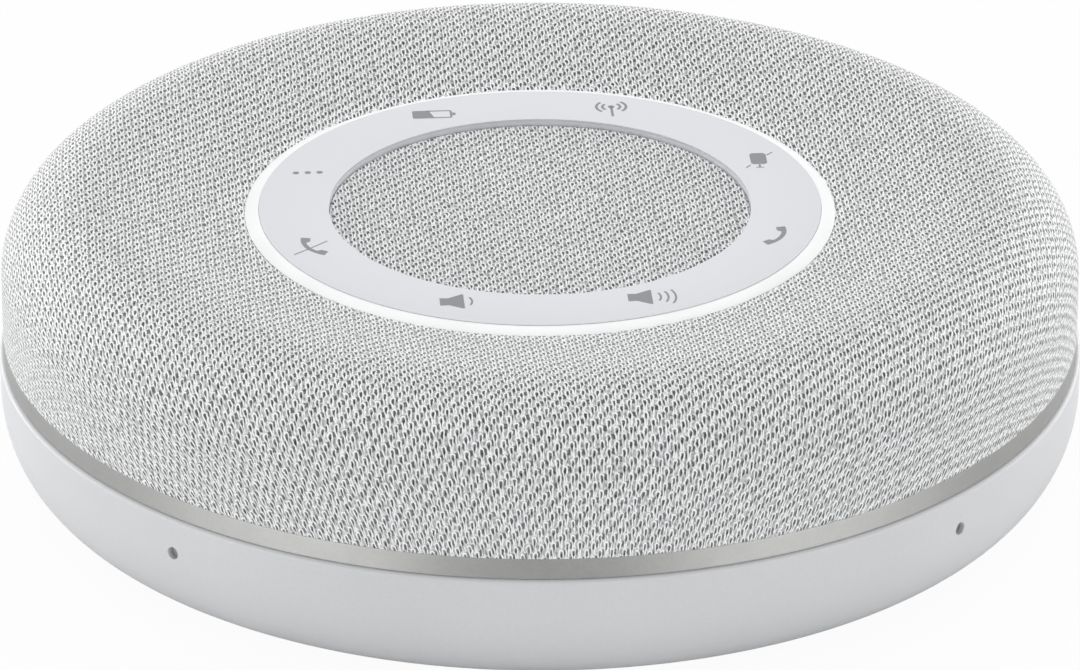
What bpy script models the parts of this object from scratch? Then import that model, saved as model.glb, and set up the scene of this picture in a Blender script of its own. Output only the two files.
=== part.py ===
"""Round conference speakerphone: a puck with a knitted cover, a touch ring and a full-range driver.

Metres, +Z up. The origin is the centre of the foot ring, on the surface that the speakerphone
stands on. -Y is the front, +Y the rear, where the charging port and the power button are.
"""
import math

import bmesh
import bpy
from mathutils import Matrix, Vector

# Clearances
SEAT_GAP = 0.0003            # between two pieces that rest on or in each other
SCREW_GAP = 0.0002           # round a screw's shank and head
OVERRUN = 0.0020             # how far a cutting shape passes the face that it cuts
SINK = 0.0004                # how far a boss starts inside the wall that it grows from
MERGE_DISTANCE = 0.00001     # points of a turned shape nearer than this become one
ROUND_END_SHARE = 0.499      # of a slot's height: the radius of its round ends

# Facets round a turn
OUTER_STEPS = 40
RING_STEPS = 36
CHAMBER_STEPS = 28
DRIVER_STEPS = 18
SMALL_STEPS = 12
HOLE_STEPS = 8
CENTRE_HOLE_STEPS = 6

# Lower housing: a bowl that turns under in one sweep
BODY_RADIUS = 0.0660
FOOT_PROUD = 0.0008
WIDEST_HEIGHT = 0.0122
RIM_HEIGHT = 0.0166
RIM_DRAFT = 0.0001
RIM_CHAMFER = 0.0003
SIDE_TURN = 0.0120           # in plan, from the widest line in to the flat underside
HOUSING_WALL = 0.0020
SIDE_EXPONENT = 2.55
FALL_EXPONENT = 1.94
SIDE_POINTS = 6
INNER_SIDE_POINTS = 5
LEDGE_WIDTH = 0.0025
LEDGE_THICKNESS = 0.0016

# Base cover and foot ring
COVER_MARGIN = 0.0040        # flat of the housing round the base cover
COVER_THICKNESS = 0.0018
FOOT_MARGIN = 0.0040         # flat of the base cover round the foot ring
FOOT_WIDTH = 0.0050
FOOT_THICKNESS = 0.0014
FOOT_CHAMFER = 0.0003

# Screws that clamp the base, the board and the speaker chamber
SCREW_RADIUS = 0.00125
SCREW_HEAD_RADIUS = 0.0024
SCREW_HEAD_HEIGHT = 0.0010
SCREW_HEAD_DEPTH = 0.0002
POST_RADIUS = 0.0032
SCREW_COUNT = 4

# Trim ring between the housing and the cover
TRIM_HEIGHT = 0.00235
TRIM_PROUD = 0.0002          # how far its foot stands past the housing
TRIM_LIP = 0.00013           # how far its top stands past the cover
TRIM_WIDTH = 0.0032
TRIM_CHAMFER = 0.0002

# Knitted cover: wall, elliptic shoulder and shallow dish down to the light ring
COVER_SET_BACK = 0.0004      # from the housing's widest line in to the cover's wall
SHOULDER_WIDTH = 0.0111
SHOULDER_HEIGHT = 0.0099
DISH_RISE = 0.0028           # from the light ring's edge up to the crown
DISH_BLEND = 0.0060
SHOULDER_POINTS = 4
SHELL_INNER_STEPS = 2
KNIT_THICKNESS = 0.0008
SHELL_WALL = 0.0015
SHELL_SEAT_WIDTH = 0.0012

# Slots through the grille shell under the cover
WALL_SLOT_WIDTH = 0.0036
WALL_SLOT_HEIGHT = 0.0058
DISH_SLOT_WIDTH = 0.0022
DISH_SLOT_LENGTH = 0.0110
DISH_SLOT_COUNT = 5
SLOT_RIM = 0.0016

# Touch ring, light ring and their boards
RING_OUTER_RADIUS = 0.03420
RING_WIDTH = 0.00853
RING_THICKNESS = 0.0012
RING_SKIRT = 0.0008
RING_CHAMFER = 0.0002
LIGHT_WIDTH = 0.0012
LIGHT_FALL = 0.0005
LIGHT_CROWN_SHARE = 0.25     # of that fall: what its middle has dropped
LIGHT_DROP = 0.0001
LIGHT_FOOT = 0.0020
LIGHT_FOOT_THICKNESS = 0.0008
LED_BOARD_THICKNESS = 0.0006
TOUCH_BOARD_THICKNESS = 0.0005
LED_COUNT = 8
LED_SIZE = 0.0012
LED_HEIGHT = 0.0002

# Centre grille and its disc of cloth
CENTRE_RECESS = 0.0008
CENTRE_KNIT_THICKNESS = 0.0006
CENTRE_GRILLE_THICKNESS = 0.0010
CENTRE_RIM_WIDTH = 0.0030
CENTRE_HOLE_RADIUS = 0.0020
CENTRE_HOLE_MARGIN = 0.0034  # between the outermost holes and the rim
CENTRE_HOLE_ROWS = 2

# Battery and its cradle
BATTERY_LENGTH = 0.0520
BATTERY_WIDTH = 0.0360
BATTERY_THICKNESS = 0.0048
BATTERY_CORNER = 0.0015
CRADLE_WALL = 0.0012
CRADLE_HEIGHT = 0.0036
PAD_LENGTH = 0.0300
PAD_WIDTH = 0.0200
PAD_THICKNESS = 0.0006

# Main board and what stands on it
BOARD_EDGE = 0.0035          # board left outside the circle of legs
BOARD_THICKNESS = 0.0010
PORT_TONGUE_WIDTH = 0.0120
SWITCH_TONGUE_WIDTH = 0.0110
SHIELD_LENGTH = 0.0220
SHIELD_WIDTH = 0.0180
SHIELD_HEIGHT = 0.0018
SHIELD_CORNER = 0.0010
SHIELD_PLACE = -0.0140
CONNECTOR_LENGTH = 0.0080
CONNECTOR_WIDTH = 0.0045
CONNECTOR_HEIGHT = 0.0030
CONNECTOR_REACH = 0.0120     # of the battery's lead, from its edge to the connector

# Charging port
PORT_WIDTH = 0.00894
PORT_HEIGHT = 0.00326
PORT_LENGTH = 0.0072
PORT_WALL = 0.00035
PORT_DEPTH = 0.0060
PORT_RECESS = 0.0008
PORT_TONGUE_THICKNESS = 0.0007
PORT_TONGUE_SPAN = 0.0064
PORT_TONGUE_LENGTH = 0.0044
PORT_OPENING_GAP = 0.0004

# Power button and its switch
BUTTON_ANGLE = math.radians(68)
BUTTON_WIDTH = 0.0100
BUTTON_HEIGHT = 0.0034
BUTTON_PROUD = 0.0005
BUTTON_FLANGE = 0.0010
BUTTON_FLANGE_THICKNESS = 0.0009
BUTTON_TRAVEL = 0.0004
STEM_WIDTH = 0.0030
STEM_HEIGHT = 0.0016
STEM_LENGTH = 0.0020
PLUNGER_WIDTH = 0.0020
PLUNGER_HEIGHT = 0.0012
PLUNGER_LENGTH = 0.0014
SWITCH_WIDTH = 0.0062
SWITCH_HEIGHT = 0.0020
SWITCH_DEPTH = 0.0034
SWITCH_LIP_SHARE = 0.25      # of its depth: what stands past the board's tongue
BUTTON_PLAY = 0.0001         # left between plunger and switch at full travel

# Microphones behind four pinholes
MIC_COUNT = 4
MIC_HEIGHT = 0.0121
MIC_HOLE_RADIUS = 0.00065
MIC_BOOT_SIZE = 0.0046
MIC_BOOT_DEPTH = 0.0018
MIC_BOARD_SIZE = 0.0060
MIC_BOARD_THICKNESS = 0.0007
MIC_CAN_WIDTH = 0.0035
MIC_CAN_HEIGHT = 0.0027
MIC_CAN_DEPTH = 0.0010

# Speaker chamber and baffle
CHAMBER_CLEARANCE = 0.0078
CHAMBER_WALL = 0.0014
CHAMBER_DEPTH = 0.0149
PARTS_HEADROOM = 0.0004      # between the switch on the board and the chamber
BAFFLE_THICKNESS = 0.0018
BAFFLE_SCREW_BITE = 0.0060
BOSS_RADIUS = 0.0030

# Driver
DRIVER_FLANGE_WIDTH = 0.0028
YOKE_RADIUS = 0.0130
YOKE_THICKNESS = 0.0014
POLE_RADIUS = 0.0056
MAGNET_SET_BACK = 0.0009     # from the top plate's bore out to the magnet's
MAGNET_THICKNESS = 0.0027
TOP_PLATE_THICKNESS = 0.0016
COIL_CLEARANCE = 0.0004
COIL_WALL = 0.0007
COIL_OVERHANG = 0.0015
BASKET_WALL = 0.0008
BASKET_BASE_RADIUS = 0.0168
SPIDER_LEDGE = 0.0022
SPIDER_THICKNESS = 0.0004
SPIDER_WAVE = 0.0003
SPIDER_WAVES = 2
CONE_THICKNESS = 0.0005
CONE_RISE = 0.0040
DUST_CAP_RISE = 0.0022
SURROUND_THICKNESS = 0.0004
SURROUND_ROLL_WIDTH = 0.0037
SURROUND_ROLL_HEIGHT = 0.0013
ROLL_POINTS = 4
WINDOW_COUNT = 6
WINDOW_WIDTH = 0.0070
WINDOW_RISE_SHARE = 0.55

# Passive radiators
PASSIVE_RADIUS = 0.0090
PASSIVE_FOOT = 0.0010
PASSIVE_PLATE_RADIUS = 0.0054
PASSIVE_PLATE_THICKNESS = 0.0008
PASSIVE_ROLL_HEIGHT = 0.0010

# Heights, worked out upwards from the surface that the speakerphone stands on
underside = FOOT_PROUD
groove_top = FOOT_THICKNESS + SEAT_GAP
cover_top = underside + COVER_THICKNESS
ledge_bottom = cover_top + SEAT_GAP
ledge_top = ledge_bottom + LEDGE_THICKNESS
battery_bottom = cover_top + 2 * SEAT_GAP
battery_top = battery_bottom + BATTERY_THICKNESS
pad_bottom = battery_top + SEAT_GAP
board_bottom = pad_bottom + PAD_THICKNESS + SEAT_GAP
board_top = board_bottom + BOARD_THICKNESS
port_height = board_top + SEAT_GAP + PORT_HEIGHT / 2
button_height = port_height
chamber_bottom = board_top + SEAT_GAP + SWITCH_HEIGHT + PARTS_HEADROOM
chamber_floor = chamber_bottom + CHAMBER_WALL
chamber_top = chamber_floor + CHAMBER_DEPTH
baffle_bottom = chamber_top + SEAT_GAP
baffle_top = baffle_bottom + BAFFLE_THICKNESS
led_bottom = baffle_top + SEAT_GAP
led_top = led_bottom + LED_BOARD_THICKNESS
touch_board_bottom = led_top + SEAT_GAP
touch_board_top = touch_board_bottom + TOUCH_BOARD_THICKNESS
ring_bottom = touch_board_top + SEAT_GAP
ring_top = ring_bottom + RING_THICKNESS
light_top = ring_top - LIGHT_DROP
light_edge = light_top - LIGHT_FALL
centre_top = ring_top - CENTRE_RECESS
trim_bottom = RIM_HEIGHT + SEAT_GAP
trim_top = trim_bottom + TRIM_HEIGHT
cover_foot = trim_top + SEAT_GAP
crown = light_edge + DISH_RISE
shoulder_base = crown - SHOULDER_HEIGHT

# Radii that several pieces share, worked out inwards from the body
housing_inner_radius = BODY_RADIUS - HOUSING_WALL
underside_radius = BODY_RADIUS - SIDE_TURN
cover_radius = underside_radius - COVER_MARGIN
foot_outer_radius = cover_radius - FOOT_MARGIN
foot_inner_radius = foot_outer_radius - FOOT_WIDTH
base_screw_circle = foot_outer_radius - FOOT_WIDTH / 2
board_radius = base_screw_circle + BOARD_EDGE
cover_wall_radius = BODY_RADIUS - COVER_SET_BACK
trim_foot_radius = BODY_RADIUS + TRIM_PROUD
trim_top_radius = cover_wall_radius + TRIM_LIP
chamber_radius = housing_inner_radius - CHAMBER_CLEARANCE
chamber_inner_radius = chamber_radius - CHAMBER_WALL
boss_circle = chamber_inner_radius - BOSS_RADIUS
passive_circle = chamber_inner_radius - SEAT_GAP - PASSIVE_RADIUS
light_inner_radius = RING_OUTER_RADIUS + SEAT_GAP
light_outer_radius = light_inner_radius + LIGHT_WIDTH
cover_inner_radius = light_outer_radius + SEAT_GAP
shoulder_centre_radius = cover_wall_radius - SHOULDER_WIDTH
ring_inner_radius = RING_OUTER_RADIUS - RING_WIDTH
centre_radius = ring_inner_radius - SEAT_GAP
driver_opening = centre_radius - CENTRE_RIM_WIDTH - SEAT_GAP
driver_flange_radius = driver_opening + DRIVER_FLANGE_WIDTH

quarter = math.pi / 2
screw_angles = [math.pi / SCREW_COUNT + index * 2 * math.pi / SCREW_COUNT for index in range(SCREW_COUNT)]
mic_angles = [math.pi / MIC_COUNT + index * 2 * math.pi / MIC_COUNT for index in range(MIC_COUNT)]


def clear_scene():
    """Remove what the start-up file holds and make the two collections."""
    for obj in list(bpy.data.objects):
        bpy.data.objects.remove(obj, do_unlink=True)
    parts = bpy.data.collections.new("speakerphone")
    cutters = bpy.data.collections.new("cutters")
    bpy.context.scene.collection.children.link(parts)
    bpy.context.scene.collection.children.link(cutters)
    return parts, cutters


parts, cutters = clear_scene()


def linear(channel):
    """One sRGB channel from 0 to 1, as linear light."""
    if channel <= 0.04045:
        return channel / 12.92
    return ((channel + 0.055) / 1.055) ** 2.4


def finish(obj, colour, roughness, metallic=0.0):
    """Give an object a material of its own; colour is an sRGB hex string."""
    material = bpy.data.materials.new(obj.name)
    material.use_nodes = True
    shader = material.node_tree.nodes["Principled BSDF"]
    channels = [linear(int(colour[place:place + 2], 16) / 255) for place in (1, 3, 5)]
    shader.inputs["Base Color"].default_value = (*channels, 1)
    shader.inputs["Roughness"].default_value = roughness
    shader.inputs["Metallic"].default_value = metallic
    obj.data.materials.append(material)
    return obj


def new_object(name, mesh_maker, collection=None):
    """An object whose mesh is what mesh_maker puts into a bmesh."""
    mesh = bpy.data.meshes.new(name)
    maker = bmesh.new()
    mesh_maker(maker)
    maker.to_mesh(mesh)
    maker.free()
    obj = bpy.data.objects.new(name, mesh)
    (collection or parts).objects.link(obj)
    return obj


def tool(name, mesh_maker):
    """A shape that cuts or joins another one and isn't a piece itself."""
    obj = new_object(name, mesh_maker, cutters)
    obj.hide_render = True
    obj.display_type = "WIRE"
    return obj


def combine(target, other, operation):
    """Cut, join or trim a piece with a tool."""
    modifier = target.modifiers.new(other.name, "BOOLEAN")
    modifier.operation = operation
    modifier.object = other
    modifier.solver = "EXACT"


def turned(name, outline, steps, on_axis=False):
    """A solid of revolution. The outline runs clockwise, so its outer side runs down."""
    def outline_edges(maker):
        points = [maker.verts.new((radius, 0, height)) for radius, height in outline]
        for first, second in zip(points, points[1:]):
            maker.edges.new((first, second))
        if not on_axis:
            maker.edges.new((points[-1], points[0]))

    obj = new_object(name, outline_edges)
    screw = obj.modifiers.new("Turn", "SCREW")
    screw.axis = "Z"
    screw.angle = 2 * math.pi
    screw.steps = steps
    screw.render_steps = steps
    screw.use_merge_vertices = True
    screw.merge_threshold = MERGE_DISTANCE
    screw.use_smooth_shade = True
    obj.data.set_sharp_from_angle(angle=math.radians(35))
    return obj


def add_cylinder(maker, radius, bottom, top, place=(0, 0), steps=HOLE_STEPS):
    """An upright cylinder between two heights, added to a bmesh."""
    middle = Vector((place[0], place[1], (bottom + top) / 2))
    bmesh.ops.create_cone(maker, cap_ends=True, segments=steps, radius1=radius, radius2=radius,
                          depth=top - bottom, matrix=Matrix.Translation(middle))


def add_block(maker, size, matrix, corner=0.0, along=1, segments=3):
    """A block with its four edges along one axis rounded, added to a bmesh."""
    made = bmesh.ops.create_cube(maker, size=1.0)
    bmesh.ops.scale(maker, vec=size, verts=made["verts"])
    if corner > 0:
        edges = []
        for edge in {edge for vert in made["verts"] for edge in vert.link_edges}:
            run = edge.verts[0].co - edge.verts[1].co
            if abs(run[along]) > size[along] / 2:
                edges.append(edge)
        rounded = bmesh.ops.bevel(maker, geom=edges, offset=corner, offset_type="OFFSET", segments=segments,
                                  profile=0.5, affect="EDGES", material=-1)
        verts = {vert for face in rounded["faces"] for vert in face.verts}
    else:
        verts = set(made["verts"])
    bmesh.ops.transform(maker, matrix=matrix, verts=list(verts))


def block(name, size, place=(0, 0, 0), corner=0.0, along=2, collection=None):
    """A piece that is one block, centred on a place."""
    def one_block(maker):
        add_block(maker, size, Matrix.Identity(4), corner, along)

    obj = new_object(name, one_block, collection)
    obj.location = place
    return obj


def around(radius, angles):
    """Places on a circle, in plan."""
    return [(radius * math.cos(angle), radius * math.sin(angle)) for angle in angles]


def facing(angle, radius, height):
    """A matrix whose +Y axis points outwards from the puck's centre at an angle."""
    return Matrix.Rotation(angle - quarter, 4, "Z") @ Matrix.Translation((0, radius, height))


def stand_facing(obj, angle, radius, height):
    """Place a piece so that its own +Y points outwards."""
    obj.location = (radius * math.cos(angle), radius * math.sin(angle), height)
    obj.rotation_euler = (0, 0, angle - quarter)


def housing_side(wall, count):
    """The bowl's sweep from its widest line down to the flat underside, a wall's width inside it."""
    reach = BODY_RADIUS - underside_radius - wall
    fall = WIDEST_HEIGHT - underside - wall
    points = []
    for index in range(count):
        angle = quarter * index / (count - 1)
        radius = underside_radius + reach * max(math.cos(angle), 0) ** (2 / SIDE_EXPONENT)
        height = WIDEST_HEIGHT - fall * math.sin(angle) ** (2 / FALL_EXPONENT)
        points.append((radius, height))
    return points


def seat_in_wall(height, half_width):
    """How far out a flat front of a half width can stand against the bowl's inner wall at a height."""
    reach = housing_inner_radius - underside_radius
    fall = WIDEST_HEIGHT - underside - HOUSING_WALL
    drop = max(WIDEST_HEIGHT - height, 0) / fall
    radius = underside_radius + reach * (1 - drop ** FALL_EXPONENT) ** (1 / SIDE_EXPONENT)
    radius = radius * math.cos(math.pi / OUTER_STEPS) - 2 * SEAT_GAP
    return math.sqrt(radius ** 2 - half_width ** 2)


def cover_curve(inset, count=SHOULDER_POINTS):
    """The cover's outer line from the light ring out over the shoulder, moved in by an inset."""
    inner = (cover_inner_radius, light_edge - inset)
    top = crown - inset
    flat_start = shoulder_centre_radius - DISH_BLEND
    slope = (top - inner[1]) / (shoulder_centre_radius - inner[0] - DISH_BLEND / 2)
    points = [inner, (flat_start, inner[1] + slope * (flat_start - inner[0]))]
    for index in range(count + 1):
        angle = quarter * index / count
        points.append((shoulder_centre_radius + (SHOULDER_WIDTH - inset) * math.sin(angle),
                       shoulder_base + (SHOULDER_HEIGHT - inset) * math.cos(angle)))
    points.append((cover_wall_radius - inset, cover_foot))
    return points


def arch(inner, outer, base, rise, thickness):
    """A half roll between two radii, as its outer line and its inner line."""
    middle = (inner + outer) / 2
    half = (outer - inner) / 2
    upper = []
    lower = []
    for index in range(ROLL_POINTS):
        angle = math.pi * (1 - index / (ROLL_POINTS - 1))
        upper.append((middle + half * math.cos(angle), base + thickness + rise * math.sin(angle)))
        lower.append((middle + (half - thickness) * math.cos(angle), base + rise * math.sin(angle)))
    return upper, lower


def make_lower_housing():
    """The moulded bowl, with a ledge for the base cover and openings for port, button and microphones."""
    outline = [(BODY_RADIUS - RIM_DRAFT - HOUSING_WALL, RIM_HEIGHT),
               (BODY_RADIUS - RIM_DRAFT - RIM_CHAMFER, RIM_HEIGHT),
               (BODY_RADIUS - RIM_DRAFT, RIM_HEIGHT - RIM_CHAMFER)]
    outline += housing_side(0, SIDE_POINTS)
    opening = cover_radius + SEAT_GAP
    ledge_inner = cover_radius - LEDGE_WIDTH
    outline += [(opening, underside), (opening, ledge_bottom), (ledge_inner, ledge_bottom),
                (ledge_inner, ledge_top), (opening + HOUSING_WALL, ledge_top),
                (opening + HOUSING_WALL, underside + HOUSING_WALL)]
    outline += reversed(housing_side(HOUSING_WALL, INNER_SIDE_POINTS))
    housing = turned("lower_housing", outline, OUTER_STEPS)

    def openings(maker):
        reach = HOUSING_WALL + 2 * OVERRUN
        middle = BODY_RADIUS - HOUSING_WALL / 2
        for angle in mic_angles:
            matrix = facing(angle, middle, MIC_HEIGHT) @ Matrix.Rotation(quarter, 4, "X")
            bmesh.ops.create_cone(maker, cap_ends=True, segments=HOLE_STEPS, radius1=MIC_HOLE_RADIUS,
                                  radius2=MIC_HOLE_RADIUS, depth=reach, matrix=matrix)
        port_size = (PORT_WIDTH + 2 * PORT_OPENING_GAP, reach, PORT_HEIGHT + 2 * PORT_OPENING_GAP)
        add_block(maker, port_size, facing(quarter, middle, port_height), port_size[2] * ROUND_END_SHARE)
        button_size = (BUTTON_WIDTH + 2 * SEAT_GAP, reach, BUTTON_HEIGHT + 2 * SEAT_GAP)
        add_block(maker, button_size, facing(BUTTON_ANGLE, middle, button_height),
                  button_size[2] * ROUND_END_SHARE)

    combine(housing, tool("housing_openings", openings), "DIFFERENCE")
    return finish(housing, "#CDCED0", 0.5)


def make_base_cover():
    """The plate under the speakerphone: a groove for the foot ring, which hides the screws, and four posts."""
    outline = [(0, cover_top), (cover_radius, cover_top), (cover_radius, underside),
               (foot_outer_radius + SEAT_GAP, underside), (foot_outer_radius + SEAT_GAP, groove_top),
               (foot_inner_radius - SEAT_GAP, groove_top), (foot_inner_radius - SEAT_GAP, underside),
               (0, underside)]
    cover = turned("base_cover", outline, RING_STEPS, on_axis=True)
    places = around(base_screw_circle, screw_angles)

    def posts(maker):
        for place in places:
            add_cylinder(maker, POST_RADIUS, cover_top - SINK, board_bottom - SEAT_GAP, place, SMALL_STEPS)

    def holes(maker):
        for place in places:
            add_cylinder(maker, SCREW_RADIUS + SCREW_GAP, underside - OVERRUN, board_bottom + OVERRUN, place)

    def counterbores(maker):
        seat = groove_top + SCREW_HEAD_DEPTH + SCREW_HEAD_HEIGHT + SCREW_GAP
        for place in places:
            add_cylinder(maker, SCREW_HEAD_RADIUS + SCREW_GAP, underside - OVERRUN, seat, place, SMALL_STEPS)

    combine(cover, tool("base_posts", posts), "UNION")
    combine(cover, tool("base_screw_holes", holes), "DIFFERENCE")
    combine(cover, tool("base_counterbores", counterbores), "DIFFERENCE")
    return finish(cover, "#B9BABC", 0.6)


def make_foot_ring():
    """The soft ring that the speakerphone stands on."""
    outline = [(foot_inner_radius, FOOT_THICKNESS), (foot_outer_radius, FOOT_THICKNESS),
               (foot_outer_radius, FOOT_CHAMFER), (foot_outer_radius - FOOT_CHAMFER, 0),
               (foot_inner_radius + FOOT_CHAMFER, 0), (foot_inner_radius, FOOT_CHAMFER)]
    return finish(turned("foot_ring", outline, RING_STEPS), "#6E7072", 0.85)


def make_screw(name, place, head_bottom, length, up):
    """A pan-head screw. It stands on its head, or hangs from it where up is false."""
    shank_end = SCREW_HEAD_HEIGHT + length
    outline = [(0, shank_end), (SCREW_RADIUS, shank_end), (SCREW_RADIUS, SCREW_HEAD_HEIGHT),
               (SCREW_HEAD_RADIUS, SCREW_HEAD_HEIGHT), (SCREW_HEAD_RADIUS, 0), (0, 0)]
    screw = turned(name, outline, HOLE_STEPS, on_axis=True)
    screw.location = (place[0], place[1], head_bottom)
    if not up:
        screw.rotation_euler = (math.pi, 0, 0)
    return finish(screw, "#8E9093", 0.35, 1.0)


def make_base_screws():
    head = groove_top + SCREW_HEAD_DEPTH
    shank = chamber_bottom + CHAMBER_WALL - SINK - SEAT_GAP - head - SCREW_HEAD_HEIGHT
    for index, place in enumerate(around(base_screw_circle, screw_angles)):
        make_screw("base_screw_%d" % (index + 1), place, head, shank, True)


def make_baffle_screws():
    shank = baffle_top - SCREW_HEAD_HEIGHT - chamber_top + BAFFLE_SCREW_BITE
    for index, place in enumerate(around(boss_circle, screw_angles)):
        make_screw("baffle_screw_%d" % (index + 1), place, baffle_top, shank, False)


def make_trim_ring():
    """The satin metal band between housing and cover."""
    inner = trim_foot_radius - TRIM_WIDTH
    outline = [(inner, trim_top), (trim_top_radius - TRIM_CHAMFER, trim_top),
               (trim_top_radius, trim_top - TRIM_CHAMFER), (trim_foot_radius, trim_bottom + TRIM_CHAMFER),
               (trim_foot_radius - TRIM_CHAMFER, trim_bottom), (inner, trim_bottom)]
    return finish(turned("trim_ring", outline, OUTER_STEPS), "#B5B5B0", 0.35, 0.9)


def make_fabric_cover():
    """The knitted cover: one skin from the light ring to the trim."""
    outline = cover_curve(0) + list(reversed(cover_curve(KNIT_THICKNESS)))
    return finish(turned("fabric_cover", outline, OUTER_STEPS), "#C4C6C6", 0.9)


def make_grille_shell():
    """The rigid dome under the knit, with slots all round its wall and a fan of them over each passive."""
    inset = KNIT_THICKNESS + SEAT_GAP
    outer = cover_curve(inset)
    inner = list(reversed(cover_curve(inset + SHELL_WALL, SHELL_INNER_STEPS)))[:-1]
    seat_radius = cover_inner_radius + SHELL_SEAT_WIDTH
    run = (seat_radius - cover_inner_radius) / (outer[1][0] - outer[0][0])
    seat_height = outer[0][1] - SHELL_WALL + run * (outer[1][1] - outer[0][1])
    outline = outer + inner + [(seat_radius, seat_height), (seat_radius, baffle_top + SEAT_GAP),
                               (cover_inner_radius, baffle_top + SEAT_GAP)]
    shell = turned("grille_shell", outline, OUTER_STEPS)

    def slots(maker):
        wall_middle = cover_foot + SLOT_RIM + WALL_SLOT_HEIGHT / 2
        wall_size = (WALL_SLOT_WIDTH, SHELL_WALL + 2 * OVERRUN, WALL_SLOT_HEIGHT)
        dish_size = (DISH_SLOT_WIDTH, DISH_SLOT_LENGTH, SHOULDER_HEIGHT)
        dish_start = cover_inner_radius + SHELL_SEAT_WIDTH + SLOT_RIM
        facet = 2 * math.pi / OUTER_STEPS
        for index in range(OUTER_STEPS // 2):
            angle = facet * (2 * index + 0.5)
            add_block(maker, wall_size, facing(angle, cover_wall_radius - inset, wall_middle))
        for side in (0, math.pi):
            for index in range(DISH_SLOT_COUNT):
                angle = side + facet * (index - DISH_SLOT_COUNT / 2 + 0.5)
                add_block(maker, dish_size, facing(angle, dish_start + DISH_SLOT_LENGTH / 2, crown))

    combine(shell, tool("shell_slots", slots), "DIFFERENCE")
    return finish(shell, "#3A3B3D", 0.6)


def make_light_ring():
    """The light guide round the touch ring, with an inner foot over the light board."""
    foot_inner = light_inner_radius - LIGHT_FOOT
    foot_bottom = baffle_top + SEAT_GAP
    foot_top = foot_bottom + LIGHT_FOOT_THICKNESS
    outline = [(foot_inner, foot_top), (light_inner_radius, foot_top), (light_inner_radius, light_top),
               (light_outer_radius - LIGHT_WIDTH / 2, light_top - LIGHT_FALL * LIGHT_CROWN_SHARE),
               (light_outer_radius, light_edge), (light_outer_radius, foot_bottom), (foot_inner, foot_bottom)]
    return finish(turned("light_ring", outline, RING_STEPS), "#FBFCFB", 0.3)


def make_touch_ring():
    """The control ring: an annular cap on two skirts. Its touch fields have no travel."""
    skirt_foot = baffle_top + SEAT_GAP
    outer_foot = skirt_foot + LIGHT_FOOT_THICKNESS + SEAT_GAP
    outline = [(ring_inner_radius, ring_top - RING_CHAMFER), (ring_inner_radius + RING_CHAMFER, ring_top),
               (RING_OUTER_RADIUS - RING_CHAMFER, ring_top), (RING_OUTER_RADIUS, ring_top - RING_CHAMFER),
               (RING_OUTER_RADIUS, outer_foot), (RING_OUTER_RADIUS - RING_SKIRT, outer_foot),
               (RING_OUTER_RADIUS - RING_SKIRT, ring_bottom), (ring_inner_radius + RING_SKIRT, ring_bottom),
               (ring_inner_radius + RING_SKIRT, skirt_foot), (ring_inner_radius, skirt_foot)]
    return finish(turned("touch_ring", outline, RING_STEPS), "#E0E1E5", 0.45)


def make_ring_boards():
    """The light board with its lamps, and the touch sensor board over it."""
    inner = ring_inner_radius + RING_SKIRT + SEAT_GAP
    led_outer = light_inner_radius - LIGHT_FOOT - SEAT_GAP
    led_board = turned("led_board", [(inner, led_top), (led_outer, led_top), (led_outer, led_bottom),
                                     (inner, led_bottom)], RING_STEPS)
    angles = [2 * math.pi * (index + 0.5) / LED_COUNT for index in range(LED_COUNT)]

    def lamps(maker):
        size = (LED_SIZE, LED_SIZE, LED_HEIGHT + SINK)
        for angle in angles:
            add_block(maker, size, facing(angle, led_outer - LED_SIZE, led_top + (LED_HEIGHT - SINK) / 2))

    combine(led_board, tool("led_lamps", lamps), "UNION")
    finish(led_board, "#E8E8E2", 0.6)
    touch_outer = RING_OUTER_RADIUS - RING_SKIRT - SEAT_GAP
    touch_board = turned("touch_board", [(inner, touch_board_top), (touch_outer, touch_board_top),
                                         (touch_outer, touch_board_bottom), (inner, touch_board_bottom)],
                         RING_STEPS)
    finish(touch_board, "#2F6B45", 0.5)


def make_centre():
    """The pierced disc in the middle of the touch ring, and the cloth disc on it."""
    radius = centre_radius
    cloth_bottom = centre_top - CENTRE_KNIT_THICKNESS
    cloth = turned("centre_fabric", [(0, centre_top), (radius, centre_top), (radius, cloth_bottom),
                                     (0, cloth_bottom)], RING_STEPS, on_axis=True)
    finish(cloth, "#C4C6C6", 0.9)
    plate_top = cloth_bottom - SEAT_GAP
    plate_bottom = plate_top - CENTRE_GRILLE_THICKNESS
    rim_inner = radius - CENTRE_RIM_WIDTH
    rim_foot = baffle_top + SEAT_GAP
    grille = turned("centre_grille", [(0, plate_top), (radius, plate_top), (radius, rim_foot),
                                      (rim_inner, rim_foot), (rim_inner, plate_bottom), (0, plate_bottom)],
                    DRIVER_STEPS, on_axis=True)

    def holes(maker):
        rows = range(-CENTRE_HOLE_ROWS, CENTRE_HOLE_ROWS + 1)
        pitch = (rim_inner - CENTRE_HOLE_MARGIN - CENTRE_HOLE_RADIUS) / CENTRE_HOLE_ROWS
        for row in rows:
            for column in rows:
                x = pitch * (column + row / 2)
                y = pitch * row * math.sin(math.pi / 3)
                if math.hypot(x, y) < pitch * CENTRE_HOLE_ROWS + CENTRE_HOLE_RADIUS:
                    add_cylinder(maker, CENTRE_HOLE_RADIUS, plate_bottom - OVERRUN, plate_top + OVERRUN,
                                 (x, y), CENTRE_HOLE_STEPS)

    combine(grille, tool("centre_holes", holes), "DIFFERENCE")
    finish(grille, "#3A3B3D", 0.6)


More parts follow.
